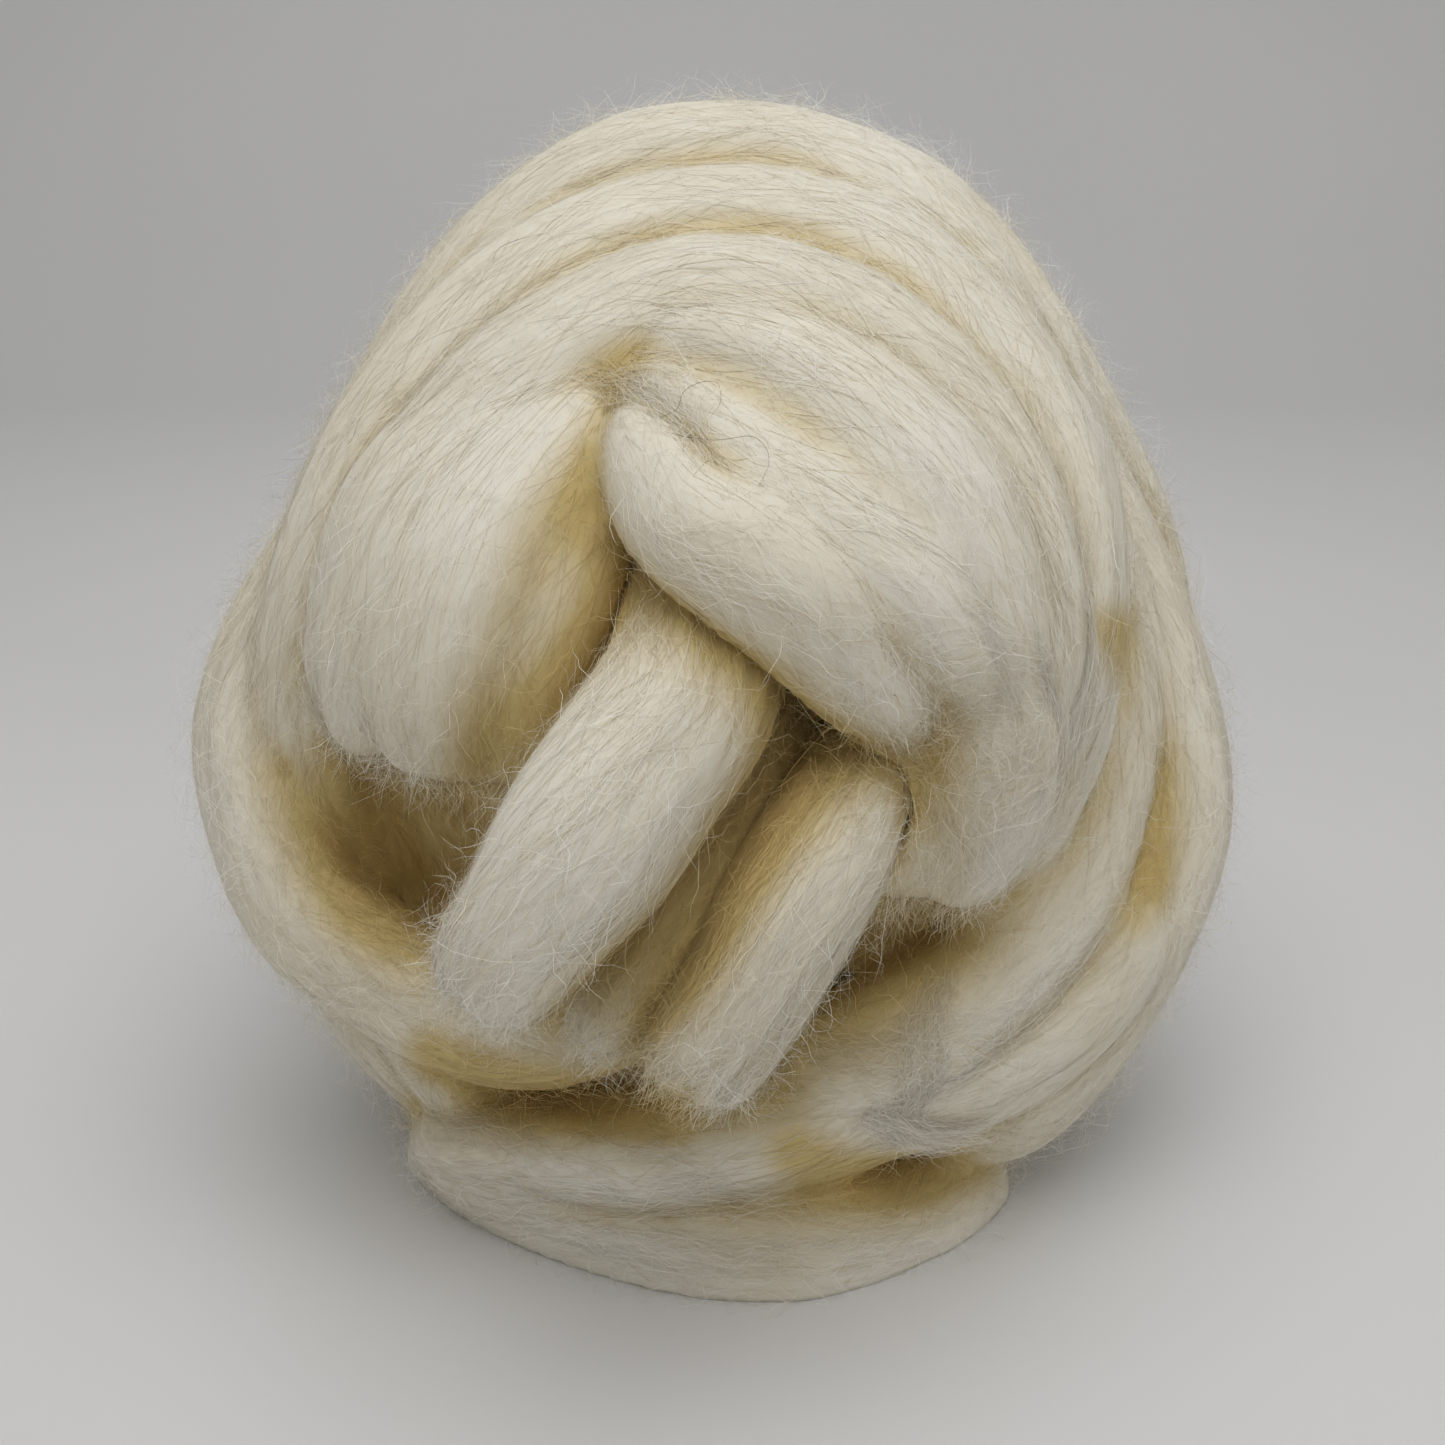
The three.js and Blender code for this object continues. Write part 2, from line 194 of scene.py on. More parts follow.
# Wispy locks that cross the strands, on the skin and a little off it. Columns as for the strands.
WISPS = [
    [(-16, 58, 88, 3, 2), (-11, 36, 98, 5, 3), (8, 26, 100, 6, 3), (26, 10, 93, 6, 3), (36, -1, 86, 6, 3),
     (45, 1, 84, 6, 3), (53, 12, 80, 5, 3)],
    [(-4, 40, 92, 4, 2), (16, 24, 92, 6, 3), (32, 8, 88, 7, 3), (42, -4, 82, 7, 3), (48, -20, 78, 7, 3),
     (53, -36, 72, 5, 3)],
    [(58, 32, 74, 4, 2), (68, 12, 70, 6, 3), (66, -8, 72, 7, 3), (58, -24, 72, 7, 3), (48, -38, 68, 6, 3)],
    [(36, 20, 88, 4, 2), (48, 16, 84, 6, 3), (58, 4, 78, 6, 3), (56, -8, 76, 6, 3), (46, -14, 76, 5, 3)],
    [(43, -52, 58, 3, 2), (39, -62, 56, 4, 3), (37, -72, 54, 4, 3), (36, -82, 50, 3, 3)],
    [(30, -78, 54, 3, 2), (40, -83, 52, 4, 3), (52, -82, 46, 4, 3)],
    [(-79, 8, 56, 4, 2), (-75, -4, 58, 6, 3), (-64, -10, 62, 7, 3), (-50, -12, 66, 5, 3)],
    [(-26, 68, 72, 3, 2), (-17, 65, 78, 5, 3), (-8, 56, 86, 5, 3), (-4, 44, 90, 4, 2)],
    [(-58, -74, 24, 4, 2), (-40, -84, 38, 6, 3), (-16, -92, 46, 7, 3), (8, -96, 48, 6, 3),
     (28, -97, 42, 5, 3)],
    [(-34, -98, 32, 5, 2), (-8, -104, 42, 6, 3), (14, -105, 42, 6, 3), (34, -102, 34, 5, 2)],
    [(-52, -97, 16, 4, 2), (-30, -107, 26, 5, 3), (-4, -113, 34, 6, 3), (16, -114, 34, 6, 3),
     (34, -110, 26, 5, 3), (48, -102, 16, 4, 2)],
    [(14, -62, 58, 4, 2), (30, -66, 56, 6, 3), (46, -62, 50, 7, 3), (60, -50, 42, 6, 3),
     (70, -34, 34, 5, 2)],
]

# Painted shade in deep folds, golden, on the right and low at the front, as places right and up in the
# sight. The reach is where the painted shade starts and stops to fade beside the line, and the fade is how
# near to the eye a place has to lie for none and for all of it.
DEEP_FOLD_SHADES = [
    [(79, 18), (85, 8), (89, -4), (91, -14), (88, -26), (84, -38)],
    [(15, -87), (24, -90), (33, -91), (42, -90)],
    [(-58, -66), (-40, -72), (-24, -76), (-10, -78)],
]
FOLD_SHADE_REACH = (0.5, 7.5)
FOLD_SHADE_FADE = (30, 65)
FOLD_SHADE_SHARE = 0.5
FOLD_SHADE_FINENESS = 8

# Thin dark hairs caught in the fibre, as places right and up in the sight.
HAIRS = [
    [(-45.8, 92), (-44.4, 94.4), (-40.4, 96.2), (-35.4, 97.4)],
    [(-12.6, 60.4), (-9, 62.2), (-7.6, 65.6), (-4.6, 67.4), (-1.2, 67.4), (-0.4, 65), (-0.6, 63),
     (-2.4, 60.4)],
    [(-11.6, 57.6), (-6.4, 56.4), (-0.4, 56.2), (5.8, 56.8), (8.8, 54.2), (9.2, 50.8), (7, 46.4)],
]
HAIR_HALF_WIDTH = 0.04
HAIR_LIFT = 0.5
HAIR_TINT = 0.5
HAIR_FINENESS = 6

# Strands whose last tip lies free, so that its fibres run on past it.
FREE_TIPS = {"lobe_a", "lobe_b", "lobe_c", "flap", "frayed_end", "frayed_back", *ENDS}

# Strands that are frayed all along, as at the outline, and how much so beside a free tip.
HAZY_STRANDS = {"arch_outer", "right_outer", "left_outer", "base_front"}
HAZY_SHARE = 0.7

# Where the fibre is frayed: the place of a free tip, and how far off the fraying starts and stops to fade.
FRAYED_TIP = 0.94
FRAYED_TIP_REACH = (8, 26)
HAZY_REACH = (14, 26)
HAZY_PLACES = 16

# The skin: the tubes' rounded tips and sides, the grid of the remesh, and the ridges raised on it.
ROUND_TIP = 0.09
TIP_CROWDING = 0.6
SKIN_SIDES = 28
SKIN_STEP = 3.0
LEAST_RINGS = 8
CORE_BANDS = 20
CORE_SIDES = 36
VOXEL = 2.15
SKIN_SMOOTHING = 5
RIDGE_SCALE = 2.6
RIDGE_HEIGHT = 1.4
RIDGE_SMOOTHING = 4
SKIN_FLOOR = 0.15

# The loose ends' own skins, the gap that is kept from them, and their flat widths in metres.
END_SIDES = 36
END_STEP = 1.6
END_RIDGE_HEIGHT = 0.45
END_INSET = 0.35
END_GAP = 0.6

# Each strand draws the phases of its waves with a seed of its own, counted up from these.
PHASES = 7
STRAND_SEED = 100
WRAP_SEED = 140
END_SEED = 160
WISP_SEED = 180
LENGTH_PLACES = 200

# The waves across a strand: three of falling strength and growing fineness, each bent along the strand.
WAVE_STRENGTHS = (1, 0.5, 0.2)
WAVE_FINENESS = (1, 2.3, 4.1)
WAVE_BENDS = (1.3, 1.7)
WAVE_RUNS = (37, 29, 53)

# The places on each strand from which the nearest way of the fibre is read.
FLOW_SHARES = 60
FLOW_ANGLES = 16

# Painted shade: the fibre is painted golden and brown where it is shut in and in creases.
# How shut in a place is: rays cast from it, how far they reach, and the least that one counts.
# A crease lies lower than the skin around it, and counts in full at its depth.
RAYS = 16
RAY_REACH = 60.0
RAY_START = 1.0
LEAST_FACING = 0.15
HOLLOW_SMOOTHING = 4
LEVEL_SMOOTHING = 14
CREASE_SMOOTHING = 2
CREASE_DEPTH = 1.1
CREASE_SHARE = 0.48

# The fibres. Counts are for the whole of the piece, but for each tip or wisp of its own.
COMBED = dict(
    count=28000, points=5, length=(12, 26), half_width=(0.03, 0.07), tint=0.5, roll=0.12,
    lift=0.1, crimp=0.25, wave=11, spread=3.0,
)
FUZZ = dict(
    count=34000, points=7, length=(5, 16), half_width=(0.018, 0.04), tint=0.78, roll=0.4,
    lift=4.2, crimp=0.9, wave=5,
)
TIPS = dict(count=500, points=7, length=(3, 10), crimp=0.7, wave=5)
WISP = dict(count=400, points=7, length=(10, 24), crimp=0.9, wave=7, spread=2.0)
END_COMBED = dict(
    count=2400, points=6, length=(12, 24), half_width=(0.03, 0.07), tint=0.55, roll=0.12,
    lift=0.2, crimp=0.3, wave=10, spread=2.4,
)
END_TIPS = dict(count=500, points=7, length=(2, 7), crimp=0.6, wave=5)
END_FUZZ_COUNT = 2000
TINT_SPREAD = 0.22
LEAST_HEIGHT = 0.2
LEAST_LIFT = 0.05
PIECE_TRIANGLES = 190000

# A ribbon's width along it, as shares of its own, and the spread of each fibre's small waves.
RIBBON_PLACES = (0, 0.15, 0.7, 1)
RIBBON_WIDTHS = (0.55, 1, 0.9, 0.25)
CRIMP_PERIODS = (0.7, 1.5)
CRIMP_SIZES = (0.3, 1.5)
CRIMP_STRETCH = 1.3

# Combed fibres: more are tried than kept, because those under the skin are dropped. They run past a free
# tip, drift across the strand in two long waves, and let go of the skin where the strand dives under it.
TRIES_SHARE = 2.6
SPARE_TRIES = 20
START_BEFORE = 0.02
START_PAST = 0.3
PAST_TIP = 4.0
TIP_STOPS = (-1.2, 1.0)
SEEN_DEPTH = -1.6
LEAST_ROOT_HEIGHT = 0.5
DRIFTS = ((1.8, 23, 14), (0.9, 9, 6))
TIP_FULLNESS = 0.15
FREE_TIP_FULLNESS = 0.8
FLYING_SHARES = (0.93, 1.0)
LETTING_GO = (-5.5, -2.2)
LOCK_SCALE = 4.5
LOCK_LIFT = 0.4
EVEN_LIFT = 0.6
STRAY_LIFT = 0.7
CRIMP_LIFT = 0.3

# Fibres of a free tip: where they start, how they spread, curl and sag.
TIP_SHARES = (0.80, 1.0)
TIP_INSET = 0.6
TIP_LEAST = 0.75
TIP_SPREAD = (-0.3, 0.9)
TIP_TURN = 0.35
TIP_ROLL = 0.1
TIP_CURL = 0.04
TIP_GROWTH = 0.7
TIP_SAG = 0.012

# Fibres of a wispy lock: where they lie along and in it, how far past its tips, and how high on the skin.
WISP_MIDDLES = (0.1, 0.9)
WISP_INNER = (0.02, 1.0)
WISP_PAST = 0.1
WISP_LOW = 0.35
WISP_STRAY = 0.25
WISP_HIGH = 3.2

# Fuzz: how it turns from the strand's way, bends and rises, and how much more where the fibre is frayed.
FUZZ_FLOOR = 0.8
FUZZ_SHARES = (0.5, 0.6)
FUZZ_TURN = 0.75
FUZZ_BENDS = (0.18, 0.15)
FUZZ_BEND_RUN = 8
FUZZ_CRIMP = 0.6
FUZZ_RISES = (0.6, 0.7)
FUZZ_HIGH = 6.0
FUZZ_GROWTH = 1.15
FUZZ_CRIMP_RISE = 0.5
FUZZ_LOW = 0.25

# Colours of the fibre from its straw tints to its palest, and the painted shade of the folds and the
# deepest recesses: golden, and brown where deepest, for the shade and the warm light that bounces between
# the fibres there.
STRAW = (0.69, 0.60, 0.40)
CREAM = (0.82, 0.78, 0.665)
LIGHT = (0.88, 0.857, 0.785)
PALE = (0.93, 0.915, 0.865)
GOLDEN_SHADE = (0.64, 0.50, 0.20)
BROWN_SHADE = (0.62, 0.43, 0.14)
GOLDEN_SHADE_MOST = 0.95
BROWN_SHADE_MOST = 0.75

# How shut in a fibre and the fleece have to be for the painted golden shade to start, and for the painted
# brown shade.
FIBRE_FOLD_SHADE = (0.05, 0.46)
FLEECE_FOLD_SHADE = (0.04, 0.46)

# The slow warm patches: their noise is stretched, lowered and weakened.
PATCH_STRETCH = 1.4
PATCH_OFFSET = -0.45
PATCH_SHARE = 0.65

# The sweep behind the bundle, in metres: a floor that curves up into a wall.
SWEEP = dict(front=-4.0, turn=0.30, radius=0.35, top=1.6, half_width=4.0, steps=16)
# The wall's greys are darker than the floor's: painted shade up the wall.
SWEEP_GREYS_AND_SHADE = [(0.0, 0.735), (0.06, 0.58), (0.5, 0.60)]


def smooth_step(low, high, value):
    """From 0 at low to 1 at high, with a level start and finish."""
    share = np.clip((value - low) / (high - low), 0, 1)
    return share * share * (3 - 2 * share)


def unit(vectors):
    """The vectors at a length of one."""
    least = 1e-9
    return vectors / np.maximum(np.linalg.norm(vectors, axis=-1, keepdims=True), least)


def sight(right, up, near):
    """A point of the sight's own frame, in the object's frame."""
    shrink = (SIGHT_DISTANCE - near) / SIGHT_DISTANCE
    sine = math.sin(SIGHT_TILT)
    cosine = math.cos(SIGHT_TILT)
    return (
        right * shrink,
        up * shrink * sine - near * cosine,
        SIGHT_HEIGHT + up * shrink * cosine + near * sine,
    )


def strand_rows(table):
    """Rows of x, y, z, half width and half thickness."""
    rows = [(*sight(right, up, near), wide, thick) for right, up, near, wide, thick in table]
    return np.array(rows, float)


def wrap_rows(wrap):
    """The same rows for a wrap, which winds round its pole."""
    turn, lift, first, last, offset, offset_end, reach, reach_end, half_width, half_thick = wrap
    turned = math.radians(turn)
    lifted = math.radians(lift)
    across = np.array([math.cos(turned), -math.sin(turned), 0])
    pole = np.array([
        math.sin(turned) * math.cos(lifted),
        math.cos(turned) * math.cos(lifted),
        math.sin(lifted),
    ])
    upward = np.cross(across, pole)
    steps = round(abs(last - first) / WRAP_ROW_TURN) + WRAP_SPARE_ROWS
    rows = []
    for index in range(steps + 1):
        share = index / steps
        angle = math.radians(first + (last - first) * share)
        radius = reach + (reach_end - reach) * share
        radius *= 1 + WRAP_WAVE * math.sin(WRAP_WAVE_STEP * index + offset)
        taper = 1 - WRAP_TAPER + WRAP_TAPER * math.sin(math.pi * share)
        place = BALL_MIDDLE + pole * (offset + (offset_end - offset) * share)
        place = place + across * radius * math.sin(angle) + upward * radius * math.cos(angle)
        rows.append((*place, half_width * taper, half_thick * taper))
    return np.array(rows)


def along_rows(rows, share):
    """The rows' smooth curve at each share of its length, by the same spline as the part's source."""
    count = len(rows)
    place = np.clip(share, 0, 1) * (count - 1)
    index = np.minimum(place.astype(int), count - 2)
    rest = (place - index)[..., None]
    padded = np.vstack([2 * rows[0] - rows[1], rows, 2 * rows[-1] - rows[-2]])
    before, here, after, beyond = (padded[index + step] for step in range(4))
    start = (after - before) / 2
    finish = (beyond - here) / 2
    cubic = 2 * here - 2 * after + start + finish
    square = -3 * here + 3 * after - 2 * start - finish
    return here + start * rest + square * rest**2 + cubic * rest**3


class Strand:
    """One strand: its curve, its oval section, and the wavy lines that its fibres follow."""

    def __init__(self, name, rows, seed):
        self.name = name
        self.rows = rows
        self.free = name in FREE_TIPS
        self.phase = np.random.default_rng(seed).uniform(0, 2 * math.pi, PHASES)
        points = along_rows(rows, np.linspace(0, 1, LENGTH_PLACES))[:, :3]
        self.length = float(np.linalg.norm(np.diff(points, axis=0), axis=1).sum())
        self.girth = float(2 * math.pi * np.sqrt((rows[:, 3] ** 2 + rows[:, 4] ** 2) / 2).mean())

    def frame_at(self, share):
        """The rows' values at each share of the length, and the strand's own three ways there."""
        here = along_rows(self.rows, share)
        small = 1e-3
        ahead = along_rows(self.rows, np.minimum(share + small, 1))[..., :3]
        ahead = unit(ahead - along_rows(self.rows, np.maximum(share - small, 0))[..., :3])
        outward = here[..., :3] - BALL_MIDDLE
        outward = unit(outward - (outward * ahead).sum(-1, keepdims=True) * ahead)
        sideways = np.cross(outward, ahead)
        return here, ahead, outward, sideways

    def surface(self, share, angle, grow=0.0, least=0.0):
        """Points on the strand's oval tube, and its way there. Past its tips it runs straight on."""
        inside = np.clip(share, 0, 1)
        here, ahead, outward, sideways = self.frame_at(inside)
        tip = np.minimum(1, np.minimum(inside, 1 - inside) / ROUND_TIP)
        full = np.maximum(np.sqrt(np.maximum(0, 1 - (1 - tip) ** 2)), least)
        wide = (here[..., 3] * full + grow) * np.cos(angle)
        thick = (here[..., 4] * full + grow) * np.sin(angle)
        points = here[..., :3] + sideways * wide[..., None] + outward * thick[..., None]
        return points + ahead * ((share - inside) * self.length)[..., None], ahead

    def waves(self, across, along, scale):
        """A smooth wave over the strand, alike for fibres that lie side by side."""
        first, second, third = (across / scale * fineness for fineness in WAVE_FINENESS)
        turns = [along / run for run in WAVE_RUNS]
        p = self.phase
        total = np.sin(first + p[0] + WAVE_BENDS[0] * np.sin(turns[0] + p[1]))
        total += WAVE_STRENGTHS[1] * np.sin(second + p[2] + WAVE_BENDS[1] * np.sin(turns[1] + p[3]))
        total += WAVE_STRENGTHS[2] * np.sin(third + turns[2] + p[4])
        return total / sum(WAVE_STRENGTHS)


def made_strands(tables, rows_of, seed):
    """A strand for each table, with seeds in their order."""
    return [
        Strand(name, rows_of(table), seed + order)
        for order, (name, table) in enumerate(tables.items())
    ]


def mesh_object(name, vertices, faces):
    """An object of the given vertices, in metres."""
    mesh = bpy.data.meshes.new(name)
    mesh.from_pydata(vertices.tolist(), [], faces)
    mesh.update()
    piece = bpy.data.objects.new(name, mesh)
    bpy.context.scene.collection.objects.link(piece)
    return piece


def closed_faces(rings, sides):
    """Faces of a closed form: a first tip, rings of vertices, and a last tip."""
    last = 1 + rings * sides
    faces = []
    for side in range(sides):
        turn = (side + 1) % sides
        faces.append((0, 1 + turn, 1 + side))
        for ring in range(rings - 1):
            low = 1 + ring * sides
            faces.append((low + side, low + turn, low + sides + turn, low + sides + side))
        low = 1 + (rings - 1) * sides
        faces.append((low + side, low + turn, last))
    return faces


def tube(strand, grow=0.0, sides=SKIN_SIDES, step=SKIN_STEP):
    """Vertices and faces of a strand's closed tube, in metres."""
    rings = max(LEAST_RINGS, round(strand.length / step))
    even = np.arange(1, rings) / rings
    share = even - TIP_CROWDING * np.sin(2 * math.pi * even) / (2 * math.pi)
    angle = 2 * math.pi * np.arange(sides) / sides
    grid_share, grid_angle = np.meshgrid(share, angle, indexing="ij")
    body, _ = strand.surface(grid_share, grid_angle, grow)
    here, ahead, _, _ = strand.frame_at(np.array([0.0, 1.0]))
    tips = here[:, :3] + ahead * np.array([[-grow], [grow]])
    vertices = np.vstack([tips[:1], body.reshape(-1, 3), tips[1:]])
    return vertices * MM, closed_faces(rings - 1, sides)


def core_mesh(core):
    """Vertices and faces of a round form, in metres. Its rings go round the other way than a tube's."""
    vertices = [(0, 0, 1)]
    for band in range(1, CORE_BANDS):
        fall = math.pi * band / CORE_BANDS
        out = math.sin(fall)
        for side in range(CORE_SIDES):
            turn = 2 * math.pi * side / CORE_SIDES
            vertices.append((out * math.cos(turn), out * math.sin(turn), math.cos(fall)))
    vertices.append((0, 0, -1))
    faces = [(face[0], *face[:0:-1]) for face in closed_faces(CORE_BANDS - 1, CORE_SIDES)]
    halves = np.array([core["half_x"], core["half_y"], core["half_z"]])
    middle = np.array([core["x"], core["y"], core["z"]])
    return (np.array(vertices) * halves + middle) * MM, faces


def joined(parts):
    """One list of vertices and one of faces, for several meshes."""
    vertices, faces, start = [], [], 0
    for points, polygons in parts:
        vertices.append(points)
        faces += [tuple(corner + start for corner in polygon) for polygon in polygons]
        start += len(points)
    return np.vstack(vertices), faces


def applied(piece):
    """The piece with its modifiers made part of its mesh."""
    graph = bpy.context.evaluated_depsgraph_get()
    mesh = bpy.data.meshes.new_from_object(piece.evaluated_get(graph))
    piece.modifiers.clear()
    old = piece.data
    piece.data = mesh
    bpy.data.meshes.remove(old)
    return piece


def read_vertices(mesh):
    values = np.empty(len(mesh.vertices) * 3)
    mesh.vertices.foreach_get("co", values)
    return values.reshape(-1, 3)


def write_vertices(mesh, points):
    mesh.vertices.foreach_set("co", points.ravel())
    mesh.update()


def read_normals(mesh):
    values = np.empty(len(mesh.vertices) * 3)
    mesh.vertices.foreach_get("normal", values)
    return values.reshape(-1, 3)


def largest_part(piece):
    """Drops every loose part of the mesh but the one with the most vertices."""
    mesh = piece.data
    count = len(mesh.vertices)
    edges = np.empty(len(mesh.edges) * 2, int)
    mesh.edges.foreach_get("vertices", edges)
    first, second = edges.reshape(-1, 2).T
    label = np.arange(count)
    while True:
        low = np.minimum(label[first], label[second])
        new = label.copy()
        np.minimum.at(new, first, low)
        np.minimum.at(new, second, low)
        new = new[new]
        if (new == label).all():
            break
        label = new
    keep = label == np.bincount(label).argmax()
    if keep.all():
        return
    new_index = np.cumsum(keep) - 1
    polygons = [tuple(p.vertices) for p in mesh.polygons if keep[p.vertices[0]]]
    clean = bpy.data.meshes.new(mesh.name)
    clean.from_pydata(
        read_vertices(mesh)[keep].tolist(), [], [tuple(int(new_index[v]) for v in p) for p in polygons],
    )
    clean.update()
    piece.data = clean


class Flow:
    """How the fibre runs near any point, from the nearest place on a group of strands."""

    def __init__(self, group):
        share, angle = np.meshgrid(
            (np.arange(FLOW_SHARES) + 0.5) / FLOW_SHARES,
            2 * math.pi * np.arange(FLOW_ANGLES) / FLOW_ANGLES,
            indexing="ij",
        )
        places, ways, across, along, owners = [], [], [], [], []
        for order, strand in enumerate(group):
            points, ahead = strand.surface(share, angle)
            places.append(points.reshape(-1, 3))
            ways.append(np.broadcast_to(ahead, points.shape).reshape(-1, 3))
            across.append((angle / (2 * math.pi) * strand.girth).ravel())
            along.append((share * strand.length).ravel())
            owners.append(np.full(share.size, order))
        self.group = group
        self.places = np.vstack(places)
        self.ways = np.vstack(ways)
        self.across = np.concatenate(across)
        self.along = np.concatenate(along)
        self.owners = np.concatenate(owners)
        self.tree = KDTree(len(self.places))
        for index, place in enumerate(self.places):
            self.tree.insert(place, index)
        self.tree.balance()

    def nearest(self, points):
        """For each point, the index of the nearest place on a strand."""
        return np.array([self.tree.find(point)[1] for point in points])

    def ridges(self, points):
        """Height of the soft ridges, from -1 to 1, and where each point lies on which strand."""
        found = self.nearest(points)
        across, along, owners = self.across[found], self.along[found], self.owners[found]
        # the place across and along the strand is made even by the point's own step from the place found
        step = points - self.places[found]
        way = self.ways[found]
        outward = unit(points - BALL_MIDDLE)
        side = unit(np.cross(outward, way))
        across = across + (step * side).sum(1)
        along = along + (step * way).sum(1)
        height = np.zeros(len(points))
        for order, strand in enumerate(self.group):
            mine = owners == order
            height[mine] = strand.waves(across[mine], along[mine], RIDGE_SCALE)
        return height, across, along, owners


def set_point_values(mesh, name, values, kind="FLOAT"):
    """Keeps a value for each vertex, which the materials read by its name."""
    attribute = mesh.attributes.new(name, kind, "POINT")
    key = {"FLOAT": "value", "FLOAT_VECTOR": "vector"}[kind]
    attribute.data.foreach_set(key, np.ascontiguousarray(values, dtype=np.float32).ravel())


def smooth_shaded(mesh):
    """Shades the whole mesh smooth."""
    mesh.polygons.foreach_set("use_smooth", np.ones(len(mesh.polygons), bool))
    mesh.update()


def cut(piece, cutters):
    """Cuts closed meshes out of the piece."""
    for cutter in cutters:
        modifier = piece.modifiers.new("cut", "BOOLEAN")
        modifier.operation = "DIFFERENCE"
        modifier.solver = "MANIFOLD"
        modifier.object = cutter
        applied(piece)
    for cutter in cutters:
        bpy.data.objects.remove(cutter)
    piece.data.materials.clear()
    piece.data.polygons.foreach_set("material_index", np.zeros(len(piece.data.polygons), int))


def evened(mesh, values, passes):
    """Values at the mesh's points, each averaged with those along its edges."""
    edges = np.empty(len(mesh.edges) * 2, int)
    mesh.edges.foreach_get("vertices", edges)
    first, second = edges.reshape(-1, 2).T
    count = len(values)
    share = 1 + np.bincount(first, minlength=count) + np.bincount(second, minlength=count)
    for _ in range(passes):
        near = np.bincount(first, values[second], count) + np.bincount(second, values[first], count)
        values = (values + near) / share
    return values


def dress_skin(piece, flow):
    """Keeps for the material where each point lies across and along its strand, and on which."""
    mesh = piece.data
    _, across, along, owners = flow.ridges(read_vertices(mesh) / MM)
    apart = 17.0
    set_point_values(mesh, "streak", np.column_stack([across, along, owners * apart]), "FLOAT_VECTOR")
    smooth_shaded(mesh)


def build_skin(strands, ends, flow):
    """The bundle's skin: the strands and cores made one, with ridges, and cut clear of the loose ends."""
    tubes = [tube(strand) for strand in strands] + [core_mesh(core) for core in CORES]
    skin = mesh_object("bundle_skin", *joined(tubes))
    remesh = skin.modifiers.new("even", "REMESH")
    remesh.mode = "VOXEL"
    remesh.voxel_size = VOXEL * MM
    smooth = skin.modifiers.new("soft", "SMOOTH")
    smooth.iterations = SKIN_SMOOTHING
    smooth.factor = 0.5
    applied(skin)
    largest_part(skin)
    mesh = skin.data
    points = read_vertices(mesh) / MM
    height = evened(mesh, flow.ridges(points)[0], RIDGE_SMOOTHING)
    raised = points + read_normals(mesh) * (height * RIDGE_HEIGHT)[:, None]
    raised[:, 2] = np.maximum(raised[:, 2], SKIN_FLOOR)
    write_vertices(mesh, raised * MM)
    cut(skin, [mesh_object("cutter", *tube(end, END_GAP)) for end in ends])
    largest_part(skin)
    dress_skin(skin, flow)
    return skin


def build_end(end, before):
    """A loose end's skin, cut clear of the ends before it."""
    piece = mesh_object(end.name + "_skin", *tube(end, sides=END_SIDES, step=END_STEP))
    mesh = piece.data
    own = Flow([end])
    points = read_vertices(mesh) / MM
    rise = own.ridges(points)[0] * END_RIDGE_HEIGHT - END_INSET
    write_vertices(mesh, (points + read_normals(mesh) * rise[:, None]) * MM)
    cut(piece, [mesh_object("cutter", *tube(other, END_GAP)) for other in before])
    largest_part(piece)
    dress_skin(piece, own)
    return piece


def search_tree(*pieces):
    """A tree that finds rays' hits and nearest places on the pieces, in millimetres."""
    vertices, faces = joined([
        (read_vertices(piece.data), [tuple(face.vertices) for face in piece.data.polygons])
        for piece in pieces
    ])
    return BVHTree.FromPolygons((vertices / MM).tolist(), faces)


def nearest_on(tree, points):
    """Nearest place on the skin and its normal, for points of any shape."""
    flat = points.reshape(-1, 3)
    places = np.empty_like(flat)
    normals = np.empty_like(flat)
    for index, point in enumerate(flat):
        place, normal, _, _ = tree.find_nearest(point)
        places[index] = place
        normals[index] = normal
    return places.reshape(points.shape), normals.reshape(points.shape)


def hollow_at(tree, points, normals):
    """How shut in each point is, from 0 in the open to 1 in a deep recess."""
    ways = unit(np.random.default_rng(3).normal(size=(RAYS, 3)))
    starts = points + normals * RAY_START
    hidden = np.zeros(len(points))
    for way in ways:
        facing = normals @ way
        turned = np.where(facing[:, None] < 0, -way, way)
        for index, (start, aim, share) in enumerate(zip(starts, turned, np.abs(facing))):
            if share > LEAST_FACING and tree.ray_cast(start, aim, RAY_REACH)[0] is not None:
                hidden[index] += share
    total = np.abs(normals @ ways.T)
    total = (total * (total > LEAST_FACING)).sum(1)
    least = 1e-6
    return hidden / np.maximum(total, least)


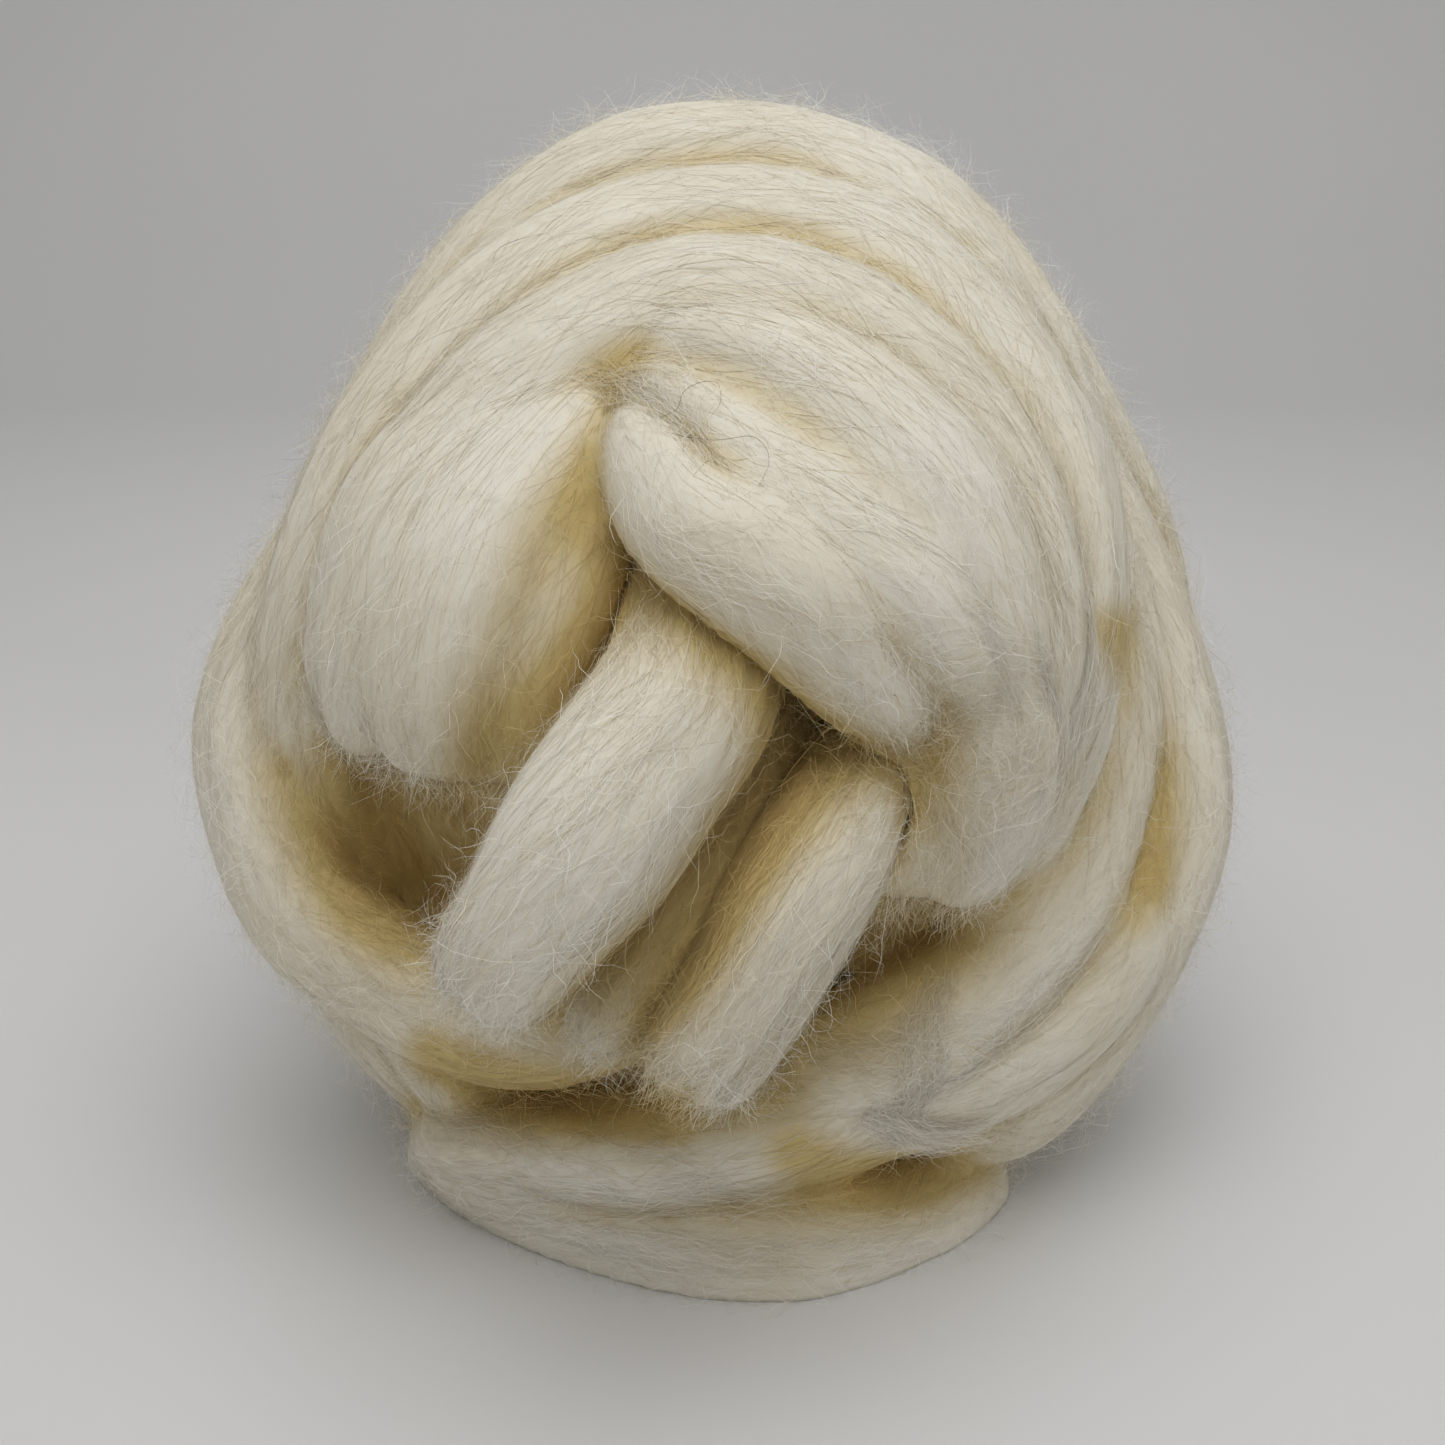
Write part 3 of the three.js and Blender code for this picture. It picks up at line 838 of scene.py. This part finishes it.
def ribbons(name, centres, across, half_width, tint, hollow_shade, fade):
    """One mesh of thin ribbons. centres is (fibres, points, 3) and across is the way each is wide."""
    fibres, points = centres.shape[:2]
    profile = np.interp(np.linspace(0, 1, points), RIBBON_PLACES, RIBBON_WIDTHS)
    wide = half_width[:, None, None] * profile[None, :, None]
    vertices = np.stack([centres - across * wide, centres + across * wide], axis=2).reshape(-1, 3)
    first = (np.arange(fibres)[:, None] * points + np.arange(points - 1)[None, :]).ravel() * 2
    corners = np.column_stack([first, first + 1, first + 3, first + 2])
    mesh = bpy.data.meshes.new(name)
    mesh.vertices.add(len(vertices))
    mesh.vertices.foreach_set("co", (vertices * MM).ravel())
    mesh.loops.add(corners.size)
    mesh.loops.foreach_set("vertex_index", corners.ravel())
    mesh.polygons.add(len(corners))
    mesh.polygons.foreach_set("loop_start", np.arange(0, corners.size, 4))
    mesh.polygons.foreach_set("loop_total", np.full(len(corners), 4))
    mesh.update(calc_edges=True)
    set_point_values(mesh, "tint", np.repeat(tint, points * 2))
    # the share of painted shade at each point of the ribbon
    set_point_values(mesh, "hollow_shade", np.repeat(hollow_shade, 2))
    set_point_values(mesh, "fade", np.repeat(fade, points * 2))
    smooth_shaded(mesh)
    piece = bpy.data.objects.new(name, mesh)
    bpy.context.scene.collection.objects.link(piece)
    return piece


def crimp_wave(length, settings):
    """A small wave of each fibre's own, along its length."""
    count = len(length)
    along = np.linspace(0, 1, settings["points"])[None, :] * length[:, None]
    phase = rng.uniform(0, 2 * math.pi, (count, 2))
    period = settings["wave"] * rng.uniform(*CRIMP_PERIODS, (count, 1))
    size = settings["crimp"] * rng.uniform(*CRIMP_SIZES, (count, 1))
    wave_side = np.sin(2 * math.pi * along / period + phase[:, :1])
    wave_up = np.sin(2 * math.pi * along / (period * CRIMP_STRETCH) + phase[:, 1:])
    return size * wave_side, size * wave_up


def strand_fibres(strand, count, tree, settings):
    """Centre lines of fibres combed along one strand, laid on the skin where they show."""
    points = settings["points"]
    tries = int(count * TRIES_SHARE) + SPARE_TRIES
    past = PAST_TIP / strand.length if strand.free else 0.0
    length = rng.uniform(*settings["length"], tries)
    start = rng.uniform(-START_BEFORE, 1 + past * START_PAST, tries)
    angle = rng.uniform(0, 2 * math.pi, tries)
    seeds, _ = strand.surface(np.clip(start, 0, 1), angle)
    places, normals = nearest_on(tree, seeds)
    depth = ((seeds - places) * normals).sum(1)
    seen = (depth > SEEN_DEPTH) & (seeds[:, 2] > LEAST_ROOT_HEIGHT)
    picked = np.flatnonzero(seen)[:count]
    length, start, angle = length[picked], start[picked], angle[picked]
    amount = len(picked)
    if amount == 0:
        return None
    reach = np.linspace(-0.5, 0.5, points)[None, :] * (length / strand.length)[:, None]
    # near a free tip each fibre stops at a place of its own
    share = np.clip(start[:, None] + reach, 0.0, 1 + past * rng.uniform(*TIP_STOPS, (amount, 1)))
    across = angle[:, None] / (2 * math.pi) * strand.girth
    along = share * strand.length
    drift = sum(
        size * np.sin(along / run + phase + across / width)
        for (size, run, width), phase in zip(DRIFTS, strand.phase[5:])
    )
    drift += rng.normal(0, settings["spread"], (amount, 1)) * np.linspace(-1, 1, points)[None, :]
    side_wave, up_wave = crimp_wave(length, settings)
    turned = angle[:, None] + (drift + side_wave) * 2 * math.pi / strand.girth
    lines, _ = strand.surface(share, turned, least=FREE_TIP_FULLNESS if strand.free else TIP_FULLNESS)
    places, normals = nearest_on(tree, lines)
    depth = ((lines - places) * normals).sum(2)
    flying = smooth_step(*FLYING_SHARES, share) if strand.free else np.zeros_like(share)
    snapped = (smooth_step(*LETTING_GO, depth) * (1 - flying))[..., None]
    lock = strand.waves(across + drift, along, LOCK_SCALE)
    lift = settings["lift"] * (EVEN_LIFT + LOCK_LIFT * lock + rng.exponential(STRAY_LIFT, (amount, 1)))
    lift = np.maximum(lift + CRIMP_LIFT * up_wave, LEAST_LIFT)[..., None]
    outward = unit(lines - BALL_MIDDLE)
    centres = (places + normals * lift) * snapped + (lines + outward * lift) * (1 - snapped)
    return centres, unit(normals * snapped + outward * (1 - snapped))


def tip_fibres(strand, settings):
    """Loose wavy fibres that spread out past a free tip."""
    count = settings["count"]
    share = rng.uniform(*TIP_SHARES, count)
    angle = rng.uniform(0, 2 * math.pi, count)
    seeds, ahead = strand.surface(share, angle, grow=-TIP_INSET, least=TIP_LEAST)
    _, _, outward, sideways = strand.frame_at(share)
    away = unit(sideways * np.cos(angle)[:, None] + outward * np.sin(angle)[:, None])
    way = unit(ahead + away * rng.uniform(*TIP_SPREAD, (count, 1)) + rng.normal(0, TIP_TURN, (count, 3)))
    side = unit(np.cross(way, away + rng.normal(0, TIP_ROLL, (count, 3))))
    up = np.cross(side, way)
    length = rng.uniform(*settings["length"], count) * (0.5 + 0.5 * rng.uniform(0, 1, count))
    reach = np.linspace(0, 1, settings["points"])[None, :] * length[:, None]
    side_wave, up_wave = crimp_wave(length, settings)
    curl = rng.normal(0, 1, (count, 2)) * TIP_CURL
    grown = (reach / length[:, None]) ** TIP_GROWTH
    sideways_step = side_wave * grown + curl[:, :1] * reach**2
    upward_step = up_wave * grown + curl[:, 1:] * reach**2
    lines = seeds[:, None] + way[:, None] * reach[..., None]
    lines = lines + side[:, None] * sideways_step[..., None] + up[:, None] * upward_step[..., None]
    lines[..., 2] -= TIP_SAG * reach**2
    return lines, np.broadcast_to(up[:, None], lines.shape)


def wisp_fibres(wisp, tree, settings):
    """Fibres of a loose lock, which follow its path over the skin and float up where the path does."""
    count, points = settings["count"], settings["points"]
    length = rng.uniform(*settings["length"], count)
    middle = rng.uniform(*WISP_MIDDLES, count)
    angle = rng.uniform(0, 2 * math.pi, count)
    inner = np.sqrt(rng.uniform(*WISP_INNER, (count, 1)))
    reach = np.linspace(-0.5, 0.5, points)[None, :] * (length / wisp.length)[:, None]
    share = np.clip(middle[:, None] + reach, -WISP_PAST, 1 + WISP_PAST)
    inside = np.clip(share, 0, 1)
    side_wave, up_wave = crimp_wave(length, settings)
    here, ahead, outward, sideways = wisp.frame_at(inside)
    fan = rng.normal(0, settings["spread"], (count, 1)) * np.linspace(-1, 1, points)[None, :]
    wide = here[..., 3] * inner * np.cos(angle)[:, None] + side_wave + fan
    thick = here[..., 4] * inner * np.sin(angle)[:, None] + up_wave
    lines = here[..., :3] + sideways * wide[..., None] + outward * thick[..., None]
    lines = lines + ahead * ((share - inside) * wisp.length)[..., None]
    places, normals = nearest_on(tree, lines)
    height = ((lines - places) * normals).sum(2)
    lift = np.clip(height, WISP_LOW + WISP_STRAY * rng.exponential(1.0, (count, 1)), WISP_HIGH)
    return places + normals * lift[..., None], normals


def smooth_path(path, fineness):
    """A path in the sight as a smooth curve, with so many places for each of its own."""
    rows = np.array([(*place, 0) for place in path], float)
    return along_rows(rows, np.linspace(0, 1, fineness * len(path)))[:, :2]


def hair_line(path, tree):
    """A hair laid on what the sight shows at each place of its path."""
    eye = Vector(EYE)
    line, facing = [], []
    for right, up in smooth_path(path, HAIR_FINENESS):
        aim = (Vector(sight(right, up, 0)) - eye).normalized()
        place, normal, _, _ = tree.ray_cast(eye, aim)
        line.append(place + normal * HAIR_LIFT - aim * HAIR_LIFT)
        facing.append(-aim)
    return np.array([line]), np.array([facing])


def width_ways(centres, facing, roll):
    """The way in which each ribbon is wide: across its run, and turned a little about it."""
    run = unit(np.gradient(centres, axis=1))
    side = unit(np.cross(run, facing))
    up = np.cross(side, run)
    turned = rng.normal(0, roll, (len(centres), 1, 1))
    return side * np.cos(turned) + up * np.sin(turned)


def fuzz_fibres(skin, count, flow, tree, settings):
    """Short wavy fibres that stand a little off the skin, more of them where it is frayed."""
    mesh = skin.data
    mesh.calc_loop_triangles()
    corners = np.empty(len(mesh.loop_triangles) * 3, int)
    mesh.loop_triangles.foreach_get("vertices", corners)
    corners = corners.reshape(-1, 3)
    points = read_vertices(mesh) / MM
    a, b, c = (points[corners[:, k]] for k in range(3))
    area = np.linalg.norm(np.cross(b - a, c - a), axis=1) / 2
    weight = area * (FUZZ_SHARES[0] + FUZZ_SHARES[1] * frizz_at(points)[corners].mean(1))
    weight = weight * ((a + b + c)[:, 2] / 3 > FUZZ_FLOOR)
    picked = rng.choice(len(corners), count, p=weight / weight.sum())
    mix = rng.dirichlet((1, 1, 1), count)
    seeds = a[picked] * mix[:, :1] + b[picked] * mix[:, 1:2] + c[picked] * mix[:, 2:]
    normal = unit(np.cross(b - a, c - a)[picked])
    way = flow.ways[flow.nearest(seeds)]
    way = unit(way - (way * normal).sum(1, keepdims=True) * normal)
    way *= rng.choice([-1, 1], (count, 1))
    side = np.cross(normal, way)
    turn = rng.normal(0, FUZZ_TURN, (count, 1))
    way, side = way * np.cos(turn) + side * np.sin(turn), side * np.cos(turn) - way * np.sin(turn)
    wild = frizz_at(seeds)[:, None]
    length = rng.uniform(*settings["length"], count)
    reach = np.linspace(0, 1, settings["points"])[None, :] * length[:, None]
    side_wave, up_wave = crimp_wave(length, settings)
    bend = rng.normal(0, 1, (count, 1)) * (FUZZ_BENDS[0] + FUZZ_BENDS[1] * wild)
    sideways = side_wave * (FUZZ_CRIMP + wild) + bend * reach**2 / FUZZ_BEND_RUN
    lines = seeds[:, None] + way[:, None] * reach[..., None] + side[:, None] * sideways[..., None]
    places, normals = nearest_on(tree, lines)
    rise = rng.exponential(settings["lift"], (count, 1)) * (FUZZ_RISES[0] + FUZZ_RISES[1] * wild)
    rise = np.minimum(rise, FUZZ_HIGH)
    lift = rise * (reach / length[:, None]) ** FUZZ_GROWTH + up_wave * FUZZ_CRIMP_RISE + FUZZ_LOW
    return places + normals * np.maximum(lift, LEAST_LIFT)[..., None], normals


def into_pieces(name, batches, settings, hollow_shades):
    """Makes the ribbons of several batches, as pieces that each stay under the limit on triangles."""
    centres = np.concatenate([batch[0] for batch in batches])
    centres[..., 2] = np.maximum(centres[..., 2], LEAST_HEIGHT)
    facing = np.concatenate([batch[1] for batch in batches])
    order = rng.permutation(len(centres))
    centres, facing = centres[order], facing[order]
    across = width_ways(centres, facing, settings["roll"])
    amount, points = centres.shape[:2]
    widths = rng.uniform(*settings["half_width"], amount)
    tint = np.clip(rng.normal(settings["tint"], TINT_SPREAD, amount), 0, 1)
    # painted shade of the skin under each fibre's ends
    start, finish = hollow_shades.near(centres[:, 1]), hollow_shades.near(centres[:, -2])
    share = np.linspace(0, 1, points)[None, :]
    hollow_shade = start[:, None] * (1 - share) + finish[:, None] * share
    fade = rng.uniform(0, 1, amount)
    each = PIECE_TRIANGLES // ((points - 1) * 2)
    made = []
    for number, first in enumerate(range(0, amount, each)):
        span = slice(first, first + each)
        made.append(ribbons(
            f"{name}_{number + 1}", centres[span], across[span], widths[span],
            tint[span], hollow_shade[span], fade[span],
        ))
    return made


def node(tree, kind, **settings):
    """A new node of the material's tree, with its settings."""
    made = tree.nodes.new(kind)
    for name, value in settings.items():
        setattr(made, name, value)
    return made


def new_material(name):
    """A new material, its tree and its shader."""
    material = bpy.data.materials.new(name)
    material.use_nodes = True
    tree = material.node_tree
    return material, tree, tree.nodes["Principled BSDF"]


def ramp(tree, source, stops):
    """The colour of the source's value, blended between the stops."""
    made = node(tree, "ShaderNodeValToRGB")
    elements = made.color_ramp.elements
    while len(elements) < len(stops):
        elements.new(0.5)
    for element, (place, colour) in zip(elements, stops):
        element.position = place
        element.color = (*colour, 1)
    tree.links.new(source, made.inputs["Fac"])
    return made.outputs["Color"]


def mixed(tree, factor, first, second, mode="MIX"):
    """Two colours mixed by a factor. Each is a socket or a constant."""
    made = node(tree, "ShaderNodeMix", data_type="RGBA", blend_type=mode)
    for socket, value in ((made.inputs[0], factor), (made.inputs[6], first), (made.inputs[7], second)):
        if isinstance(value, bpy.types.NodeSocket):
            tree.links.new(value, socket)
        else:
            socket.default_value = value if isinstance(value, float) else (*value, 1)
    return made.outputs[2]


def calculated(tree, operation, first, second=0.0, third=0.0):
    """What a math node makes of up to three values. Each is a socket or a constant."""
    made = node(tree, "ShaderNodeMath", operation=operation)
    for socket, value in zip(made.inputs, (first, second, third)):
        if isinstance(value, bpy.types.NodeSocket):
            tree.links.new(value, socket)
        else:
            socket.default_value = value
    return made.outputs[0]


def value_of(tree, name, output="Fac"):
    """A value kept on the mesh."""
    return node(tree, "ShaderNodeAttribute", attribute_name=name).outputs[output]


def shaded(tree, tint, low, high):
    """The tint with painted shade: turned golden in the folds and brown in the deepest recesses, where
    shade and the warm light that bounces between the fibres fall.
    """
    # painted shade: how shut in the place is
    hollow_shade = value_of(tree, "hollow_shade")
    golden = node(tree, "ShaderNodeMapRange", clamp=True)
    brown = node(tree, "ShaderNodeMapRange", clamp=True)
    for made, start, finish, most in ((golden, low, high, GOLDEN_SHADE_MOST), (brown, high, 1.0, BROWN_SHADE_MOST)):
        tree.links.new(hollow_shade, made.inputs["Value"])
        made.inputs["From Min"].default_value = start
        made.inputs["From Max"].default_value = finish
        made.inputs["To Max"].default_value = most
    return mixed(tree, brown.outputs[0], mixed(tree, golden.outputs[0], tint, GOLDEN_SHADE), BROWN_SHADE)


def patches(tree, tint):
    """Slow warm and pale patches over the whole bundle."""
    coordinates = node(tree, "ShaderNodeTexCoord")
    noise = node(tree, "ShaderNodeTexNoise")
    noise.inputs["Scale"].default_value = 24.0
    noise.inputs["Detail"].default_value = 3.0
    tree.links.new(coordinates.outputs["Object"], noise.inputs["Vector"])
    share = calculated(tree, "MULTIPLY_ADD", noise.outputs["Fac"], PATCH_STRETCH, PATCH_OFFSET)
    share = calculated(tree, "MULTIPLY", share, PATCH_SHARE)
    return mixed(tree, share, tint, STRAW)


def fibre_material():
    """The fine fibres, each with a tint and a roughness of its own."""
    material, tree, shader = new_material("fibre")
    tint = ramp(tree, value_of(tree, "tint"), [(0.0, STRAW), (0.35, CREAM), (0.7, LIGHT), (1.0, PALE)])
    # painted shade: golden and brown in the folds
    tree.links.new(shaded(tree, patches(tree, tint), *FIBRE_FOLD_SHADE), shader.inputs["Base Color"])
    rough = calculated(tree, "MULTIPLY_ADD", value_of(tree, "fade"), 0.25, 0.5)
    tree.links.new(rough, shader.inputs["Roughness"])
    shader.inputs["Sheen Weight"].default_value = 0.15
    shader.inputs["Sheen Roughness"].default_value = 0.45
    shader.inputs["Specular IOR Level"].default_value = 0.25
    return material


def fleece_material():
    """The skins, streaked and finely ridged along the strands."""
    material, tree, shader = new_material("fleece")
    streak = value_of(tree, "streak", "Vector")
    fine = node(tree, "ShaderNodeVectorMath", operation="MULTIPLY")
    fine.inputs[1].default_value = (1.9, 0.05, 1.0)
    tree.links.new(streak, fine.inputs[0])
    noise = node(tree, "ShaderNodeTexNoise")
    noise.inputs["Scale"].default_value = 1.0
    noise.inputs["Detail"].default_value = 4.0
    noise.inputs["Roughness"].default_value = 0.65
    tree.links.new(fine.outputs[0], noise.inputs["Vector"])
    tint = ramp(tree, noise.outputs["Fac"], [(0.15, STRAW), (0.42, CREAM), (0.85, LIGHT)])
    # painted shade: golden and brown in the folds
    tree.links.new(shaded(tree, patches(tree, tint), *FLEECE_FOLD_SHADE), shader.inputs["Base Color"])
    bump = node(tree, "ShaderNodeBump")
    bump.inputs["Strength"].default_value = 0.3
    bump.inputs["Distance"].default_value = 0.0004
    tree.links.new(noise.outputs["Fac"], bump.inputs["Height"])
    tree.links.new(bump.outputs["Normal"], shader.inputs["Normal"])
    shader.inputs["Roughness"].default_value = 0.8
    return material


def hair_material():
    material, tree, shader = new_material("hair")
    colour = ramp(tree, value_of(tree, "tint"), [(0.0, (0.15, 0.11, 0.08)), (1.0, (0.25, 0.19, 0.14))])
    tree.links.new(colour, shader.inputs["Base Color"])
    shader.inputs["Roughness"].default_value = 0.45
    return material


def backdrop_material():
    """The sweep: a pale floor, and a wall painted slightly darker as painted shade, where less light falls
    on it.
    """
    material, tree, shader = new_material("backdrop")
    coordinates = node(tree, "ShaderNodeTexCoord")
    place = node(tree, "ShaderNodeSeparateXYZ")
    tree.links.new(coordinates.outputs["Object"], place.inputs[0])
    # painted shade: the wall darker than the floor
    rise = ramp(tree, place.outputs["Z"], [(height, (grey, grey, grey)) for height, grey in SWEEP_GREYS_AND_SHADE])
    noise = node(tree, "ShaderNodeTexNoise")
    noise.inputs["Scale"].default_value = 3.0
    noise.inputs["Detail"].default_value = 2.0
    tree.links.new(coordinates.outputs["Object"], noise.inputs["Vector"])
    soft = ramp(tree, noise.outputs["Fac"], [(0.3, (0.95, 0.95, 0.955)), (0.7, (1.0, 1.0, 1.0))])
    tree.links.new(mixed(tree, 1.0, rise, soft, "MULTIPLY"), shader.inputs["Base Color"])
    shader.inputs["Roughness"].default_value = 0.85
    return material


def set_camera():
    """The camera in the sight's eye."""
    camera = bpy.data.cameras.new("camera")
    camera.sensor_width = 36
    camera.lens = camera.sensor_width / SIGHT_WIDTH * SIGHT_DISTANCE
    holder = bpy.data.objects.new("camera", camera)
    bpy.context.scene.collection.objects.link(holder)
    holder.location = Vector(EYE) * MM
    holder.rotation_mode = "QUATERNION"
    holder.rotation_quaternion = Vector(TOWARD_EYE).to_track_quat("Z", "Y")
    bpy.context.scene.camera = holder


def soft_light(name, place, size, energy):
    """A round soft light that shines on the bundle. Sizes are in metres."""
    light = bpy.data.lights.new(name, "AREA")
    light.shape = "DISK"
    light.size = size
    light.energy = energy
    holder = bpy.data.objects.new(name, light)
    bpy.context.scene.collection.objects.link(holder)
    holder.location = place
    holder.rotation_mode = "QUATERNION"
    aim = Vector((0, 0, SIGHT_HEIGHT * MM))
    holder.rotation_quaternion = (Vector(place) - aim).to_track_quat("Z", "Y")


def set_stage():
    """A pale sweep: a floor that curves up into the wall behind, and soft light."""
    turn, radius = SWEEP["turn"], SWEEP["radius"]
    profile = [(SWEEP["front"], 0.0), (turn, 0.0)]
    for step in range(1, SWEEP["steps"] + 1):
        angle = math.pi / 2 * step / SWEEP["steps"]
        profile.append((turn + radius * math.sin(angle), radius * (1 - math.cos(angle))))
    profile.append((turn + radius, SWEEP["top"]))
    vertices = [(side * SWEEP["half_width"], y, z) for y, z in profile for side in (-1, 1)]
    faces = [(2 * k, 2 * k + 1, 2 * k + 3, 2 * k + 2) for k in range(len(profile) - 1)]
    sweep = mesh_object("sweep", np.array(vertices), faces)
    sweep.data.materials.append(backdrop_material())
    smooth_shaded(sweep.data)
    world = bpy.data.worlds.new("studio")
    world.use_nodes = True
    background = world.node_tree.nodes["Background"]
    background.inputs["Color"].default_value = (1.0, 0.985, 0.96, 1)
    background.inputs["Strength"].default_value = 0.34
    bpy.context.scene.world = world
    soft_light("key", place=(0.03, -0.21, 1.0), size=1.0, energy=5.5)
    soft_light("front", place=(0.1, -0.9, 0.6), size=0.8, energy=0.35)


def frizz_at(points):
    """Where the fibre is frayed: at the free tips, and along the hazy strands. From 0 to 1."""
    amount = np.zeros(len(points))
    for strand in strands + ends:
        if strand.free:
            tip = along_rows(strand.rows, np.array([FRAYED_TIP]))[0]
            distance = np.linalg.norm(points - tip[:3], axis=1)
            amount = np.maximum(amount, 1 - smooth_step(*FRAYED_TIP_REACH, distance))
        if strand.name in HAZY_STRANDS:
            for place in along_rows(strand.rows, np.linspace(0, 1, HAZY_PLACES)):
                distance = np.linalg.norm(points - place[:3], axis=1)
                amount = np.maximum(amount, HAZY_SHARE * (1 - smooth_step(*HAZY_REACH, distance)))
    return amount


def fold_shade_spots_at(points):
    """How near each point lies to one of the deep folds of painted shade, seen along the sight. From 0 to
    1.
    """
    amount = np.zeros(len(points))
    offset = points - EYE
    for fold in DEEP_FOLD_SHADES:
        for right, up in smooth_path(fold, FOLD_SHADE_FINENESS):
            aim = unit(np.array(sight(right, up, 0)) - EYE)
            distance = np.linalg.norm(offset - (offset @ aim)[:, None] * aim, axis=1)
            nearness = 1 - smooth_step(*FOLD_SHADE_REACH, distance)
            amount = np.maximum(amount, nearness * smooth_step(*FOLD_SHADE_FADE, points @ -aim))
    return amount


def dress_hollow_shades(piece, tree):
    """Keeps for the material how shut in each point of a skin is, as the share of painted shade, and gives
    it back with the points.
    """
    mesh = piece.data
    points = read_vertices(mesh) / MM
    normals = read_normals(mesh)
    hollow_shade = hollow_at(tree, points, normals)
    level = np.column_stack([evened(mesh, points[:, axis], LEVEL_SMOOTHING) for axis in range(3)])
    crease = np.clip(((level - points) * normals).sum(1) / CREASE_DEPTH, 0, 1)
    # painted shade: occlusion and creases
    hollow_shade = evened(mesh, hollow_shade, HOLLOW_SMOOTHING) + CREASE_SHARE * evened(mesh, crease, CREASE_SMOOTHING)
    # painted shade spots along the deep folds, placed in the sight
    hollow_shade = np.clip(hollow_shade + FOLD_SHADE_SHARE * fold_shade_spots_at(points), 0, 1)
    set_point_values(mesh, "hollow_shade", hollow_shade)
    return points, hollow_shade


class HollowShades:
    """How shut in the skins are, as the share of painted shade, kept for the fibres that lie on them."""

    def __init__(self, skins, tree):
        dressed = [dress_hollow_shades(piece, tree) for piece in skins]
        points = np.vstack([found for found, _ in dressed])
        self.values = np.concatenate([values for _, values in dressed])
        self.tree = KDTree(len(points))
        for index, point in enumerate(points):
            self.tree.insert(point, index)
        self.tree.balance()

    def near(self, points):
        return self.values[[self.tree.find(point)[1] for point in points]]


def build_bundle_fibres(skin, strands, wisps, flow, hollow_shades):
    """The bundle's combed fibres, then its fuzz, frayed tips and wispy locks."""
    tree = search_tree(skin)
    areas = np.array([strand.length * strand.girth for strand in strands])
    counts = (COMBED["count"] * areas / areas.sum()).astype(int)
    combed = [strand_fibres(strand, count, tree, COMBED) for strand, count in zip(strands, counts)]
    made = into_pieces("bundle_fibre", [batch for batch in combed if batch is not None], COMBED, hollow_shades)
    loose = [fuzz_fibres(skin, FUZZ["count"], flow, tree, FUZZ)]
    loose += [tip_fibres(strand, TIPS) for strand in strands if strand.free]
    loose += [wisp_fibres(wisp, tree, WISP) for wisp in wisps]
    return made + into_pieces("bundle_fuzz", loose, FUZZ, hollow_shades)


def build_end_fibres(end, end_skin, hollow_shades):
    """A loose end's combed fibres, then its fuzz and frayed tip."""
    tree = search_tree(end_skin)
    combed = strand_fibres(end, END_COMBED["count"], tree, END_COMBED)
    made = into_pieces(end.name + "_fibre", [combed], END_COMBED, hollow_shades)
    loose = [fuzz_fibres(end_skin, END_FUZZ_COUNT, Flow([end]), tree, FUZZ), tip_fibres(end, END_TIPS)]
    return made + into_pieces(end.name + "_fuzz", loose, FUZZ, hollow_shades)


def build_hairs(tree):
    """The stray dark hairs, each a ribbon of its own."""
    made = []
    for order, path in enumerate(HAIRS):
        line, facing = hair_line(path, tree)
        one, none = np.ones(1), np.zeros(line.shape[:2])
        made.append(ribbons(
            f"stray_hair_{order + 1}", line, width_ways(line, facing, 0.0), one * HAIR_HALF_WIDTH,
            one * HAIR_TINT, none, one,
        ))
    return made


bpy.context.scene.view_settings.view_transform = "Standard"
set_camera()
set_stage()

strands = made_strands(STRANDS, strand_rows, STRAND_SEED) + made_strands(WRAPS, wrap_rows, WRAP_SEED)
ends = made_strands(ENDS, strand_rows, END_SEED)
wisps = made_strands(dict(enumerate(WISPS)), strand_rows, WISP_SEED)

flow = Flow(strands)
skin = build_skin(strands, ends, flow)
end_skins = [build_end(end, ends[:order]) for order, end in enumerate(ends)]
whole_tree = search_tree(skin, *end_skins)
hollow_shades = HollowShades([skin, *end_skins], whole_tree)

bundle_fibres = build_bundle_fibres(skin, strands, wisps, flow, hollow_shades)
end_pieces = [build_end_fibres(end, end_skin, hollow_shades) for end, end_skin in zip(ends, end_skins)]
hairs = build_hairs(whole_tree)

fibre = fibre_material()
fleece = fleece_material()
dark = hair_material()
for piece in hairs:
    piece.data.materials.append(dark)
for piece in [skin, *end_skins]:
    piece.data.materials.append(fleece)
for piece in bundle_fibres + [one for made in end_pieces for one in made]:
    piece.data.materials.append(fibre)

for piece in [skin, *bundle_fibres, *hairs]:
    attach(piece, "root")
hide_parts("bundle")
for end, end_skin, made in zip(ends, end_skins, end_pieces):
    for piece in [end_skin, *made]:
        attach(piece, "root")
    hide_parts(end.name)
